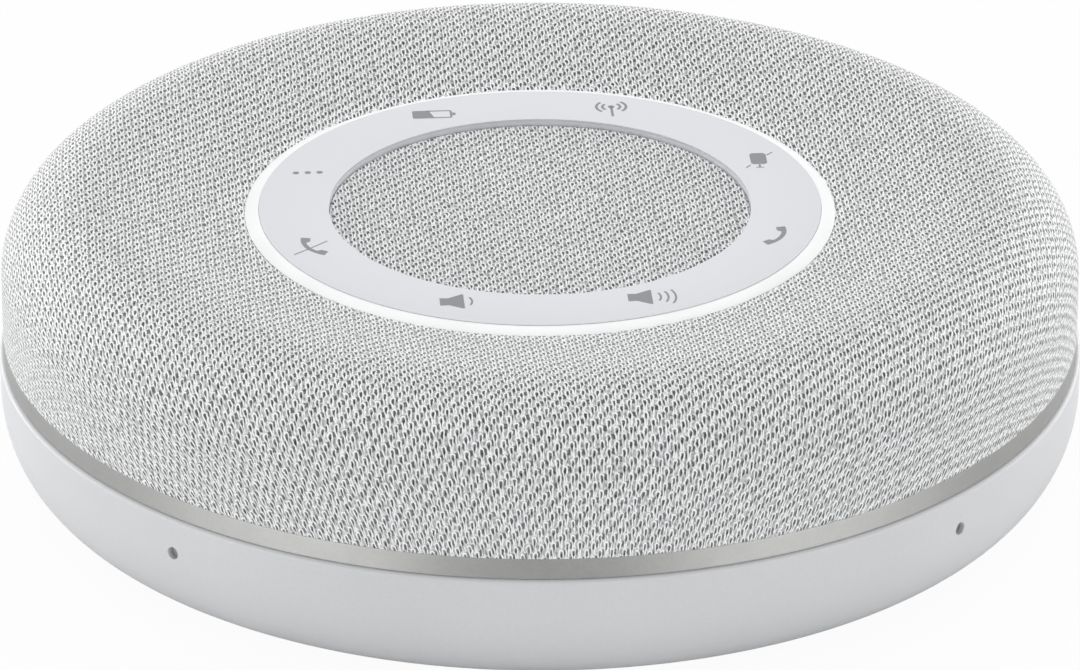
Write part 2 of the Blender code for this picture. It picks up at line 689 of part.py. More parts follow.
def make_battery():
    """The flat cell, the frame that locates it and the foam that holds it down."""
    size = (BATTERY_LENGTH, BATTERY_WIDTH, BATTERY_THICKNESS)
    cell = block("battery_cell", size, (0, 0, battery_bottom + BATTERY_THICKNESS / 2), BATTERY_CORNER, 0)
    finish(cell, "#9EA7AE", 0.45)
    wall = CRADLE_WALL + SEAT_GAP
    outer_size = (BATTERY_LENGTH + 2 * wall, BATTERY_WIDTH + 2 * wall, CRADLE_HEIGHT)
    cradle_middle = cover_top + SEAT_GAP + CRADLE_HEIGHT / 2
    cradle = block("battery_cradle", outer_size, (0, 0, cradle_middle), CRADLE_WALL)

    def bay(maker):
        hollow = (BATTERY_LENGTH + 2 * SEAT_GAP, BATTERY_WIDTH + 2 * SEAT_GAP, CRADLE_HEIGHT + 2 * OVERRUN)
        add_block(maker, hollow, Matrix.Translation((0, 0, cradle_middle)))

    combine(cradle, tool("cradle_bay", bay), "DIFFERENCE")
    finish(cradle, "#2B2C2E", 0.6)
    pad = block("battery_pad", (PAD_LENGTH, PAD_WIDTH, PAD_THICKNESS), (0, 0, pad_bottom + PAD_THICKNESS / 2))
    finish(pad, "#4A4B4D", 0.95)


def switch_face():
    """How far out the switch's front face stands, behind the plunger, the stem and the button."""
    flange_back = button_flange_front() - BUTTON_FLANGE_THICKNESS
    return flange_back - STEM_LENGTH - SEAT_GAP - PLUNGER_LENGTH - BUTTON_TRAVEL - BUTTON_PLAY


def button_flange_front():
    """How far out the button's flange can stand inside the curved wall."""
    lowest = button_height - (BUTTON_HEIGHT + BUTTON_FLANGE) / 2
    return seat_in_wall(lowest, BUTTON_WIDTH / 2 + BUTTON_FLANGE)


def make_main_board():
    """The round main board, with a tongue for the port and one for the switch."""
    outline = [(0, board_top), (board_radius, board_top), (board_radius, board_bottom), (0, board_bottom)]
    board = turned("main_board", outline, DRIVER_STEPS, on_axis=True)
    tongue_start = board_radius / 2
    middle = (board_top + board_bottom) / 2

    def port_tongue(maker):
        end = housing_inner_radius - OVERRUN
        size = (PORT_TONGUE_WIDTH, end - tongue_start, BOARD_THICKNESS)
        add_block(maker, size, facing(quarter, (end + tongue_start) / 2, middle))

    def switch_tongue(maker):
        end = switch_face() - SWITCH_DEPTH * SWITCH_LIP_SHARE
        size = (SWITCH_TONGUE_WIDTH, end - tongue_start, BOARD_THICKNESS)
        add_block(maker, size, facing(BUTTON_ANGLE, (end + tongue_start) / 2, middle))

    def holes(maker):
        for place in around(base_screw_circle, screw_angles):
            add_cylinder(maker, SCREW_RADIUS + SCREW_GAP, board_bottom - OVERRUN, board_top + OVERRUN, place)

    combine(board, tool("port_tongue", port_tongue), "UNION")
    combine(board, tool("switch_tongue", switch_tongue), "UNION")
    combine(board, tool("board_holes", holes), "DIFFERENCE")
    return finish(board, "#1F5A3A", 0.5)


def make_board_parts():
    """The shield can over the processor, and the battery's connector under the board."""
    shield_middle = board_top + SEAT_GAP + SHIELD_HEIGHT / 2
    shield = block("shield_can", (SHIELD_LENGTH, SHIELD_WIDTH, SHIELD_HEIGHT),
                   (0, SHIELD_PLACE, shield_middle), SHIELD_CORNER)
    finish(shield, "#B8BABC", 0.35, 1.0)
    plug_middle = board_bottom - SEAT_GAP - CONNECTOR_HEIGHT / 2
    plug = block("battery_connector", (CONNECTOR_LENGTH, CONNECTOR_WIDTH, CONNECTOR_HEIGHT),
                 (0, -BATTERY_WIDTH / 2 - CONNECTOR_REACH, plug_middle))
    finish(plug, "#EDEBE3", 0.5)


def make_port():
    """The charging receptacle: a drawn metal shell round a contact tongue."""
    mouth = BODY_RADIUS - PORT_RECESS
    port = block("usb_c_receptacle", (PORT_WIDTH, PORT_LENGTH, PORT_HEIGHT),
                 (0, mouth - PORT_LENGTH / 2, port_height), PORT_HEIGHT * ROUND_END_SHARE, 1)

    def cavity(maker):
        size = (PORT_WIDTH - 2 * PORT_WALL, PORT_DEPTH + OVERRUN, PORT_HEIGHT - 2 * PORT_WALL)
        start = mouth - PORT_DEPTH
        add_block(maker, size, facing(quarter, start + size[1] / 2, port_height), size[2] * ROUND_END_SHARE)

    def contact_tongue(maker):
        start = mouth - PORT_DEPTH - SINK
        size = (PORT_TONGUE_SPAN, PORT_TONGUE_LENGTH + SINK, PORT_TONGUE_THICKNESS)
        add_block(maker, size, facing(quarter, start + size[1] / 2, port_height))

    combine(port, tool("port_cavity", cavity), "DIFFERENCE")
    combine(port, tool("port_contact_tongue", contact_tongue), "UNION")
    return finish(port, "#A8AAAC", 0.3, 1.0)


def make_power_button():
    """The button cap with its flange and stem, the switch's plunger and the switch."""
    front = BODY_RADIUS + BUTTON_PROUD
    flange_front = button_flange_front()
    flange_back = flange_front - BUTTON_FLANGE_THICKNESS
    cap_depth = front - flange_front + SINK
    button = block("power_button", (BUTTON_WIDTH, cap_depth, BUTTON_HEIGHT),
                   corner=BUTTON_HEIGHT * ROUND_END_SHARE, along=1)
    stand_facing(button, BUTTON_ANGLE, front - cap_depth / 2, button_height)

    def flange(maker):
        size = (BUTTON_WIDTH + 2 * BUTTON_FLANGE, BUTTON_FLANGE_THICKNESS, BUTTON_HEIGHT + BUTTON_FLANGE)
        middle = flange_front - BUTTON_FLANGE_THICKNESS / 2
        add_block(maker, size, facing(BUTTON_ANGLE, middle, button_height))

    def stem(maker):
        size = (STEM_WIDTH, STEM_LENGTH + SINK, STEM_HEIGHT)
        add_block(maker, size, facing(BUTTON_ANGLE, flange_back + SINK - size[1] / 2, button_height))

    combine(button, tool("button_flange", flange), "UNION")
    combine(button, tool("button_stem", stem), "UNION")
    finish(button, "#C6C7C9", 0.5)

    plunger_middle = flange_back - STEM_LENGTH - SEAT_GAP - PLUNGER_LENGTH / 2
    plunger = block("switch_plunger", (PLUNGER_WIDTH, PLUNGER_LENGTH, PLUNGER_HEIGHT))
    stand_facing(plunger, BUTTON_ANGLE, plunger_middle, button_height)
    finish(plunger, "#26272A", 0.5)
    switch = block("tact_switch", (SWITCH_WIDTH, SWITCH_DEPTH, SWITCH_HEIGHT))
    switch_middle = board_top + SEAT_GAP + SWITCH_HEIGHT / 2
    stand_facing(switch, BUTTON_ANGLE, switch_face() - SWITCH_DEPTH / 2, switch_middle)
    finish(switch, "#9A9C9F", 0.4, 0.8)


def make_microphones():
    """Behind each pinhole a rubber boot, and behind that a small board with its capsule."""
    boot_front = seat_in_wall(MIC_HEIGHT - MIC_BOOT_SIZE / 2, MIC_BOOT_SIZE / 2)
    board_front = boot_front - MIC_BOOT_DEPTH - SEAT_GAP
    for index, angle in enumerate(mic_angles):
        boot = block("mic_boot_%d" % (index + 1), (MIC_BOOT_SIZE, MIC_BOOT_DEPTH, MIC_BOOT_SIZE))
        stand_facing(boot, angle, boot_front - MIC_BOOT_DEPTH / 2, MIC_HEIGHT)

        def sound_hole(maker, angle=angle):
            matrix = facing(angle, boot_front, MIC_HEIGHT) @ Matrix.Rotation(quarter, 4, "X")
            bmesh.ops.create_cone(maker, cap_ends=True, segments=HOLE_STEPS, radius1=MIC_HOLE_RADIUS,
                                  radius2=MIC_HOLE_RADIUS, depth=2 * (MIC_BOOT_DEPTH + OVERRUN), matrix=matrix)

        combine(boot, tool("boot_hole_%d" % (index + 1), sound_hole), "DIFFERENCE")
        finish(boot, "#2A2B2D", 0.9)
        board = block("mic_board_%d" % (index + 1), (MIC_BOARD_SIZE, MIC_BOARD_THICKNESS, MIC_BOARD_SIZE))
        stand_facing(board, angle, board_front - MIC_BOARD_THICKNESS / 2, MIC_HEIGHT)

        def capsule(maker, angle=angle):
            size = (MIC_CAN_WIDTH, MIC_CAN_DEPTH + SINK, MIC_CAN_HEIGHT)
            back = board_front - MIC_BOARD_THICKNESS
            add_block(maker, size, facing(angle, back + SINK - size[1] / 2, MIC_HEIGHT))

        combine(board, tool("mic_capsule_%d" % (index + 1), capsule), "UNION")
        finish(board, "#1F5A3A", 0.5)


def make_chamber():
    """The speaker's cup: legs down to the board, and bosses up the inside for the baffle."""
    outline = [(0, chamber_floor), (chamber_inner_radius, chamber_floor), (chamber_inner_radius, chamber_top),
               (chamber_radius, chamber_top), (chamber_radius, chamber_bottom), (0, chamber_bottom)]
    chamber = turned("speaker_chamber", outline, CHAMBER_STEPS, on_axis=True)
    leg_places = around(base_screw_circle, screw_angles)
    boss_places = around(boss_circle, screw_angles)

    def legs(maker):
        for place in leg_places:
            add_cylinder(maker, POST_RADIUS, board_top + SEAT_GAP, chamber_bottom + SINK, place, SMALL_STEPS)

    def bosses(maker):
        for place in boss_places:
            add_cylinder(maker, BOSS_RADIUS, chamber_floor - SINK, chamber_top, place, SMALL_STEPS)

    def holes(maker):
        radius = SCREW_RADIUS + SCREW_GAP
        for place in leg_places:
            add_cylinder(maker, radius, board_top - OVERRUN, chamber_floor - SINK, place)
        for place in boss_places:
            depth = BAFFLE_SCREW_BITE + SCREW_GAP
            add_cylinder(maker, radius, chamber_top - depth, chamber_top + OVERRUN, place)

    combine(chamber, tool("chamber_legs", legs), "UNION")
    combine(chamber, tool("chamber_bosses", bosses), "UNION")
    combine(chamber, tool("chamber_holes", holes), "DIFFERENCE")
    return finish(chamber, "#2B2C2E", 0.6)


def make_baffle():
    """The plate that closes the chamber and carries the driver, both passives and the rings."""
    outline = [(driver_opening, baffle_top), (chamber_radius, baffle_top), (chamber_radius, baffle_bottom),
               (driver_opening, baffle_bottom)]
    baffle = turned("baffle_plate", outline, CHAMBER_STEPS)

    screw_places = around(boss_circle, screw_angles)

    def holes(maker):
        low = baffle_bottom - OVERRUN
        high = baffle_top + OVERRUN
        passive_hole = PASSIVE_RADIUS - PASSIVE_FOOT
        for side in (-1, 1):
            add_cylinder(maker, passive_hole, low, high, (side * passive_circle, 0), DRIVER_STEPS)
        for place in screw_places:
            add_cylinder(maker, SCREW_RADIUS + SCREW_GAP, low, high, place)

    def counterbores(maker):
        seat = baffle_top - SCREW_HEAD_HEIGHT - SCREW_GAP
        for place in screw_places:
            add_cylinder(maker, SCREW_HEAD_RADIUS + SCREW_GAP, seat, baffle_top + OVERRUN, place)

    combine(baffle, tool("baffle_holes", holes), "DIFFERENCE")
    combine(baffle, tool("baffle_counterbores", counterbores), "DIFFERENCE")
    return finish(baffle, "#2B2C2E", 0.6)


# The driver is stacked up from the chamber's floor, and its surround hangs under the baffle
yoke_bottom = chamber_floor + SEAT_GAP
yoke_top = yoke_bottom + YOKE_THICKNESS
magnet_bottom = yoke_top + SEAT_GAP
magnet_top = magnet_bottom + MAGNET_THICKNESS
top_plate_bottom = magnet_top + SEAT_GAP
top_plate_top = top_plate_bottom + TOP_PLATE_THICKNESS
basket_bottom = top_plate_top + SEAT_GAP
spider_seat = basket_bottom + 2 * BASKET_WALL
foot_top = baffle_bottom - SEAT_GAP
foot_bottom = foot_top - SURROUND_THICKNESS
flange_top = foot_bottom - SEAT_GAP
coil_inner_radius = POLE_RADIUS + COIL_CLEARANCE
coil_outer_radius = coil_inner_radius + COIL_WALL
cone_inner_radius = coil_outer_radius + SEAT_GAP
roll_outer_radius = driver_opening - SEAT_GAP
roll_inner_radius = roll_outer_radius - SURROUND_ROLL_WIDTH
cone_outer_radius = roll_inner_radius - SEAT_GAP
cone_top = foot_top
cone_neck = cone_top - CONE_RISE
coil_top = cone_neck


def make_motor():
    """The yoke with its pole, the ring magnet and the top plate."""
    yoke = turned("yoke", [(0, top_plate_top), (POLE_RADIUS, top_plate_top), (POLE_RADIUS, yoke_top),
                           (YOKE_RADIUS, yoke_top), (YOKE_RADIUS, yoke_bottom), (0, yoke_bottom)],
                  DRIVER_STEPS, on_axis=True)
    finish(yoke, "#8C8E92", 0.35, 1.0)
    gap_radius = coil_outer_radius + COIL_CLEARANCE
    magnet_inner = gap_radius + MAGNET_SET_BACK
    magnet = turned("magnet", [(magnet_inner, magnet_top), (YOKE_RADIUS, magnet_top),
                               (YOKE_RADIUS, magnet_bottom), (magnet_inner, magnet_bottom)],
                    DRIVER_STEPS)
    finish(magnet, "#55575B", 0.4, 0.9)
    plate = turned("top_plate", [(gap_radius, top_plate_top), (YOKE_RADIUS, top_plate_top),
                                 (YOKE_RADIUS, top_plate_bottom), (gap_radius, top_plate_bottom)],
                   DRIVER_STEPS)
    finish(plate, "#8C8E92", 0.35, 1.0)


def make_basket():
    """The driver's pressed frame: flange, sloping windowed wall, spider ledge and base ring."""
    ledge_outer = BASKET_BASE_RADIUS - BASKET_WALL
    ledge_inner = ledge_outer - SPIDER_LEDGE
    opening = coil_outer_radius + SPIDER_LEDGE
    flange_bottom = flange_top - BASKET_WALL
    wall_outer = driver_opening
    outline = [(wall_outer - BASKET_WALL, flange_top), (driver_flange_radius, flange_top),
               (driver_flange_radius, flange_bottom), (wall_outer, flange_bottom),
               (BASKET_BASE_RADIUS, spider_seat), (BASKET_BASE_RADIUS, basket_bottom),
               (opening, basket_bottom), (opening, basket_bottom + BASKET_WALL),
               (ledge_inner, basket_bottom + BASKET_WALL), (ledge_inner, spider_seat),
               (ledge_outer, spider_seat), (ledge_outer, spider_seat + BASKET_WALL)]
    basket = turned("driver_basket", outline, DRIVER_STEPS)

    def windows(maker):
        rise = flange_bottom - spider_seat
        size = (WINDOW_WIDTH, driver_opening - BASKET_BASE_RADIUS + 2 * OVERRUN, rise * WINDOW_RISE_SHARE)
        radius = (driver_opening + BASKET_BASE_RADIUS) / 2
        middle = spider_seat + BASKET_WALL + size[2] / 2
        for index in range(WINDOW_COUNT):
            angle = 2 * math.pi * index / WINDOW_COUNT
            add_block(maker, size, facing(angle, radius, middle))

    combine(basket, tool("basket_windows", windows), "DIFFERENCE")
    return finish(basket, "#3A3C40", 0.5, 0.6)


def make_coil_and_cone():
    """The moving parts of the driver: voice coil, cone and dust cap."""
    coil_bottom = top_plate_bottom - COIL_OVERHANG
    coil = turned("voice_coil", [(coil_inner_radius, coil_top), (coil_outer_radius, coil_top),
                                 (coil_outer_radius, coil_bottom), (coil_inner_radius, coil_bottom)],
                  DRIVER_STEPS)
    finish(coil, "#A8683A", 0.4, 0.8)
    neck_bottom = cone_neck - CONE_THICKNESS
    cone = turned("cone", [(cone_inner_radius, cone_neck), (cone_outer_radius, cone_top),
                           (cone_outer_radius, cone_top - CONE_THICKNESS), (cone_inner_radius, neck_bottom)],
                  DRIVER_STEPS)
    finish(cone, "#232427", 0.7)
    cap_foot = coil_top + SEAT_GAP
    radius = coil_outer_radius
    outline = []
    for rise, reach in ((CONE_THICKNESS, radius), (0, radius - CONE_THICKNESS)):
        line = []
        for index in range(ROLL_POINTS):
            angle = quarter * index / (ROLL_POINTS - 1)
            line.append((reach * math.sin(angle), cap_foot + rise + (DUST_CAP_RISE - rise) * math.cos(angle)))
        outline.append(line)
    dome = outline[0][:-1] + [(radius, cap_foot + CONE_THICKNESS), (radius, cap_foot)]
    hollow = outline[1]
    hollow = [(reach, height - CONE_THICKNESS) if index < ROLL_POINTS - 1 else (reach, height)
              for index, (reach, height) in enumerate(hollow)]
    cap = turned("dust_cap", dome + list(reversed(hollow)), DRIVER_STEPS, on_axis=True)
    finish(cap, "#2E3033", 0.5)


def make_spider():
    """The corrugated disc that centres the coil."""
    inner = coil_outer_radius + SEAT_GAP
    outer = BASKET_BASE_RADIUS - BASKET_WALL - SEAT_GAP
    bottom = spider_seat + SEAT_GAP + SPIDER_WAVE
    count = 3 * SPIDER_WAVES
    lower = []
    for index in range(count + 1):
        share = index / count
        wave = SPIDER_WAVE * math.sin(2 * math.pi * SPIDER_WAVES * share)
        lower.append((inner + (outer - inner) * share, bottom + wave))
    upper = [(radius, height + SPIDER_THICKNESS) for radius, height in lower]
    return finish(turned("spider", upper + list(reversed(lower)), DRIVER_STEPS), "#B08A4A", 0.9)


def make_surround():
    """The rubber roll between the cone and the basket's flange."""
    upper, lower = arch(roll_inner_radius, roll_outer_radius, foot_bottom, SURROUND_ROLL_HEIGHT,
                        SURROUND_THICKNESS)
    rim = driver_flange_radius - SEAT_GAP
    outline = upper + [(rim, foot_top), (rim, foot_bottom)] + list(reversed(lower))
    outline += [(roll_inner_radius, foot_bottom)]
    return finish(turned("surround", outline, DRIVER_STEPS), "#1E1F21", 0.8)


def make_passives():
    """A weighted plate in a rubber roll, glued under the baffle, on each side of the driver."""
    for side, label in ((-1, "left"), (1, "right")):
        place = (side * passive_circle, 0, 0)
        plate_top = foot_bottom + PASSIVE_PLATE_THICKNESS
        plate = turned("passive_plate_" + label,
                       [(0, plate_top), (PASSIVE_PLATE_RADIUS, plate_top), (PASSIVE_PLATE_RADIUS, foot_bottom),
                        (0, foot_bottom)], DRIVER_STEPS, on_axis=True)
        plate.location = place
        finish(plate, "#8C8E92", 0.4, 1.0)
        roll_inner = PASSIVE_PLATE_RADIUS + SEAT_GAP
        roll_outer = PASSIVE_RADIUS - PASSIVE_FOOT - SEAT_GAP
        upper, lower = arch(roll_inner, roll_outer, foot_bottom, PASSIVE_ROLL_HEIGHT, SURROUND_THICKNESS)
        outline = upper + [(PASSIVE_RADIUS, foot_top), (PASSIVE_RADIUS, foot_bottom)] + list(reversed(lower))
        outline += [(roll_inner, foot_bottom)]
        roll = turned("passive_surround_" + label, outline, SMALL_STEPS)
        roll.location = place
        finish(roll, "#1E1F21", 0.8)


make_lower_housing()
make_base_cover()
make_foot_ring()
make_base_screws()
make_trim_ring()
make_fabric_cover()
make_grille_shell()
make_light_ring()
make_touch_ring()
make_ring_boards()
make_centre()
make_battery()
make_main_board()
make_board_parts()
make_port()
make_power_button()
make_microphones()
make_chamber()
make_baffle()
make_baffle_screws()
make_motor()
make_basket()
make_coil_and_cone()
make_spider()
make_surround()
make_passives()
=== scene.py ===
"""A round conference speakerphone in a white studio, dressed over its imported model.

Metres, +Z up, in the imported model's frame: -Y is the front. Sizes named below are in
millimetres, and MM turns them to metres where a mesh or a texture needs them.
"""
import math

import bmesh
import bpy
from mathutils import Matrix, Vector


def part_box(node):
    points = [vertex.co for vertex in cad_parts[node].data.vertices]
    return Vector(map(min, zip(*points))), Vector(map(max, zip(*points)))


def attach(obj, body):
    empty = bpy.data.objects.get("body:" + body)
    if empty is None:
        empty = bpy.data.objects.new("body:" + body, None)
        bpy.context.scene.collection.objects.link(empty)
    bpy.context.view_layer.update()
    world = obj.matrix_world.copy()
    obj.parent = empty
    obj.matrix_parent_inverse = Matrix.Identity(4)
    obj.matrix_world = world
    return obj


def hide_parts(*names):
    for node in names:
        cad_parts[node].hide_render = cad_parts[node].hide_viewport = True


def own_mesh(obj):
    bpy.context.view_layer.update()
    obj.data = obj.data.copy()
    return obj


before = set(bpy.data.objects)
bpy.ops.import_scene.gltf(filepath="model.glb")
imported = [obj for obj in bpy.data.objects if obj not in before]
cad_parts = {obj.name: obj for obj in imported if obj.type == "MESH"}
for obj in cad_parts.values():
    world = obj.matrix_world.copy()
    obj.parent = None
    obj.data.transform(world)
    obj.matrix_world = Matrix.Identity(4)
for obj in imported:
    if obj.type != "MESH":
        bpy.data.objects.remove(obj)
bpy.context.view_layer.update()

MM = 0.001
FULL_TURN = 2 * math.pi


def top_of(name):
    """Height of a CAD node's top, in millimetres."""
    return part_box(name)[1].z / MM


def foot_of(name):
    """Height of a CAD node's underside, in millimetres."""
    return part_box(name)[0].z / MM


def reach_of(name):
    """Outer radius of a turned CAD node, in millimetres."""
    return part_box(name)[1].x / MM


# Facets round the turned pieces and round the pills
SHELL_STEPS = 200
RING_STEPS = 176
SPIDER_STEPS = 96
SMALL_STEPS = 32

# The least angle that stays a sharp edge, in degrees
SHARP = 32
SHARP_SPIDER = 50
SHARP_CLOTH = 60

# Gaps, and what counts as one point
SEAT_GAP = 0.3
CENTRE_GAP = 0.03
LIGHT_GAP = 0.03
WELD = 0.0001

# Housing and base
BODY = reach_of("lower_housing")
RIM = top_of("lower_housing")
UNDERSIDE = foot_of("lower_housing")
WIDEST = 12.2
FLAT = BODY - 12.0
WALL = 2.0
SIDE_POWER = 2.55
FALL_POWER = 1.94
SIDE_POINTS = 30
RIM_FLARE = 0.14
RIM_BAND = 2.2
LEDGE_WIDTH = 2.8
LEDGE_THICKNESS = 1.6
FOOT_WIDTH = 5.0

# Metal trim
TRIM_SET_BACK = 0.45
TRIM_DEPTH = 3.0

# Knit cover, over the dome
CLOTH = 0.7
DISH_INNER = 36.0
DISH_BLEND = 6.0
SHOULDER_WIDTH = 11.1
SHOULDER_HEIGHT = 9.9
COVER_WALL = reach_of("fabric_cover")
CROWN = top_of("fabric_cover")
COVER_FOOT = top_of("trim_ring")
SHOULDER_CENTRE = COVER_WALL - SHOULDER_WIDTH
SHOULDER_BASE = CROWN - SHOULDER_HEIGHT
LIGHT_EDGE = 33.9
HEM = 0.35
DISH_POINTS = 9
BLEND_POINTS = 8
SHOULDER_POINTS = 28
WALL_POINTS = 4

# Touch ring and what lies round it
RING_TOP = top_of("touch_ring")
RING_OUTER = reach_of("touch_ring")
RING_INNER = RING_OUTER - 8.53
RING_THICKNESS = 1.2
RING_SKIRT = 0.8
FILM = 0.04
FILM_GAP = 0.24
FILM_STEP = 0.12
LIGHT_OUTER = reach_of("light_ring")
LIGHT_TOP = top_of("light_ring")
LIGHT_FALL = 0.55
LIGHT_FLANGE = 2.0
LIGHT_FLANGE_THICKNESS = 0.8
CENTRE_TOP = top_of("centre_fabric")
CENTRE_POINTS = 8
MARK_CIRCLE = 30.0
MARK_RISE = 0.015
MARK_SINK = 0.01

# Charging port: width and height of its opening and of its shell, and the contact tongue in it
PORT_ANGLE = 90.0
PORT_HEIGHT = 12.13
PORT_OPENING = (9.74, 4.06)
PORT_SHELL = (8.94, 3.26)
PORT_SET_BACK = 0.8
TONGUE = (6.4, 0.7, 4.6)
TONGUE_BACK = 6.2
# The shell's edges: how far back from its mouth, and how far inside its width and height
PORT_PROFILE = ((7.2, 0), (0.12, 0), (0, 0.1), (0, 0.25), (0.12, 0.35), (6.0, 0.35))

# Power key: width and height of its opening, cap, flange and stem
KEY_ANGLE = 68.0
KEY_OPENING = (10.5, 3.9)
KEY_CAP = (10.0, 3.4)
KEY_FLANGE = (12.0, 4.4)
KEY_STEM = (3.0, 1.6)
KEY_FLANGE_FACE = 62.0
KEY_FLANGE_THICKNESS = 0.9
KEY_STEM_LENGTH = 2.0
# The cap's edges: how far out of the housing, and how far inside its width and height
KEY_CROWN = ((0.2, 0), (0.38, 0.04), (0.47, 0.12), (0.5, 0.25), (0.5, 1.5))

# Microphones; the pinhole is drawn 1.52 mm wide, where the CAD's is 1.3 mm, so that it shows as in the photo
MIC_ANGLES = (45, 135, 225, 315)
MIC_HEIGHT = 12.1
MIC_RADIUS = 0.76
MIC_MESH_DEPTH = 0.75
MIC_MESH_THICKNESS = 0.15
# What a round opening is wider than high, so that no two of its corners meet
ROUND = 0.001

# Spider of the driver, inside
SPIDER_INNER = 7.0
SPIDER_THICKNESS = 0.4
SPIDER_WAVES = 3
WAVE_POINTS = 12

# Loops of the knit, on the flat cloth
WALE = 0.887
COURSE = 1.905
THREAD = 0.1
ARCH = 0.245
ARCH_DROP = 0.2
LEGS_TOGETHER = 0.14

# The slit in a loop and the gaps beside it: where their middles lie, and how far from there they are
# fully open and end
SLIT_AT = 0.7
SLIT_OPEN = 0.24
SLIT_END = 0.48
SLIT_SIDE = 0.16
SLIT_EDGE = 0.23
GAP_HIGH = 0.5
GAP_LOW = 1.45
GAP_OPEN = 0.27
GAP_END = 0.46
CROSSED_OPEN = 0.1
CROSSED_END = 0.4

# Unevenness of the cloth: over what length it changes, and how far it moves the loops
PULL_LENGTH = 7.0
PULL = (0.35, 0.35, 0)
WOBBLE_LENGTH = 0.7
WOBBLE = (0.32, 0.36, 0)
FIBRE = 0.3
SPECK = (0.26, 0.42)
FILAMENT = (0.24, 1.0)

# How far from the dish's edge the cloth begins to slacken and is slack, and how far the painted glow of the
# lit band reaches into it
SLACK_FROM = 20.0
SLACK_TO = 40.0
GLOW_REACH = 3.0

# The values that a noise texture mostly keeps between
NOISE_SPAN = (0.3, 0.7)


def linear(colour):
    """An sRGB hex colour as linear light, fully opaque."""
    channels = [int(colour[place:place + 2], 16) / 255 for place in (1, 3, 5)]
    return tuple(c / 12.92 if c <= 0.04045 else ((c + 0.055) / 1.055) ** 2.4 for c in channels) + (1.0,)


# Shapes

def rounded(corners, closed=True, segments=4):
    """An outline from (radius, height, fillet) corners, in millimetres."""
    outline = []
    count = len(corners)
    for index, (radius, height, fillet) in enumerate(corners):
        here = Vector((radius, height))
        if not fillet or not closed and index in (0, count - 1):
            outline.append((radius, height))
            continue
        before = (Vector(corners[index - 1][:2]) - here).normalized()
        after = (Vector(corners[(index + 1) % count][:2]) - here).normalized()
        half = before.angle(after) / 2
        centre = here + (before + after).normalized() * fillet / math.sin(half)
        start = here + before * fillet / math.tan(half) - centre
        end = here + after * fillet / math.tan(half) - centre
        for step in range(segments + 1):
            spoke = start.lerp(end, step / segments).normalized() * fillet
            outline.append(tuple(centre + spoke))
    return outline


def to_piece(name, shape, sharp=SHARP):
    """Turn a bmesh into a smooth-shaded object whose sharp edges stay sharp."""
    mesh = bpy.data.meshes.new(name)
    shape.to_mesh(mesh)
    shape.free()
    mesh.shade_smooth()
    mesh.set_sharp_from_angle(angle=math.radians(sharp))
    piece = bpy.data.objects.new(name, mesh)
    bpy.context.scene.collection.objects.link(piece)
    return piece


def turned(name, outline, steps=SHELL_STEPS, on_axis=False, sharp=SHARP):
    """A solid of revolution about the speakerphone's axis, from an outline in millimetres."""
    shape = bmesh.new()
    points = [shape.verts.new((radius * MM, 0, height * MM)) for radius, height in outline]
    for first, second in zip(points, points[1:]):
        shape.edges.new((first, second))
    if not on_axis:
        shape.edges.new((points[-1], points[0]))
    bmesh.ops.spin(shape, geom=shape.verts[:] + shape.edges[:], cent=(0, 0, 0), axis=(0, 0, 1),
                   angle=FULL_TURN, steps=steps, use_merge=True)
    bmesh.ops.remove_doubles(shape, verts=shape.verts[:], dist=WELD * MM)
    bmesh.ops.recalc_face_normals(shape, faces=shape.faces[:])
    return to_piece(name, shape, sharp)


def facing(degrees, height):
    """X along the housing's side, Y up and Z outwards, at an angle round it."""
    angle = math.radians(degrees)
    turn = Matrix(((-math.sin(angle), 0, math.cos(angle)),
                   (math.cos(angle), 0, math.sin(angle)),
                   (0, 1, 0)))
    return Matrix.Translation((0, 0, height * MM)) @ turn.to_4x4()


def pill(shape, levels, place):
    """A long round-ended solid: levels of (reach, width, height, whether it bends with the housing)."""
    every, before = [], []
    half_step = Matrix.Rotation(math.pi / SMALL_STEPS, 4, "Z")
    for index, (reach, width, height, bends) in enumerate(levels):
        ring = bmesh.ops.create_circle(shape, cap_ends=index in (0, len(levels) - 1), radius=1.0,
                                       segments=SMALL_STEPS, matrix=half_step)["verts"]
        for vert in ring:
            across = math.copysign((width - height) / 2, vert.co.x) + vert.co.x * height / 2
            out = math.sqrt(reach ** 2 - across ** 2) if bends else reach
            vert.co = Vector((across, vert.co.y * height / 2, out)) * MM
        edges = list({edge for vert in ring for edge in vert.link_edges})
        if before:
            bmesh.ops.bridge_loops(shape, edges=before + edges)
        before = edges
        every += ring
    bmesh.ops.transform(shape, matrix=place, verts=every)


def bar(shape, size, centre, place):
    """A rectangular bar."""
    made = bmesh.ops.create_cube(shape, size=1.0)
    bmesh.ops.scale(shape, vec=Vector(size) * MM, verts=made["verts"])
    bmesh.ops.translate(shape, vec=Vector(centre) * MM, verts=made["verts"])
    bmesh.ops.transform(shape, matrix=place, verts=made["verts"])


def cut(piece, *cutters):
    """Cut other shapes out of a piece for good, and remove them."""
    for cutter in cutters:
        modifier = piece.modifiers.new(cutter.name, "BOOLEAN")
        modifier.operation = "DIFFERENCE"
        modifier.object = cutter
        modifier.solver = "EXACT"
    evaluated = piece.evaluated_get(bpy.context.evaluated_depsgraph_get())
    whole = bpy.data.meshes.new_from_object(evaluated)
    piece.modifiers.clear()
    piece.data = whole
    for cutter in cutters:
        bpy.data.objects.remove(cutter, do_unlink=True)
    whole.shade_smooth()
    whole.set_sharp_from_angle(angle=math.radians(SHARP))


# Materials

def surface(name):
    """A new material: itself, its node tree and its shader."""
    material = bpy.data.materials.new(name)
    material.use_nodes = True
    return material, material.node_tree, material.node_tree.nodes["Principled BSDF"]


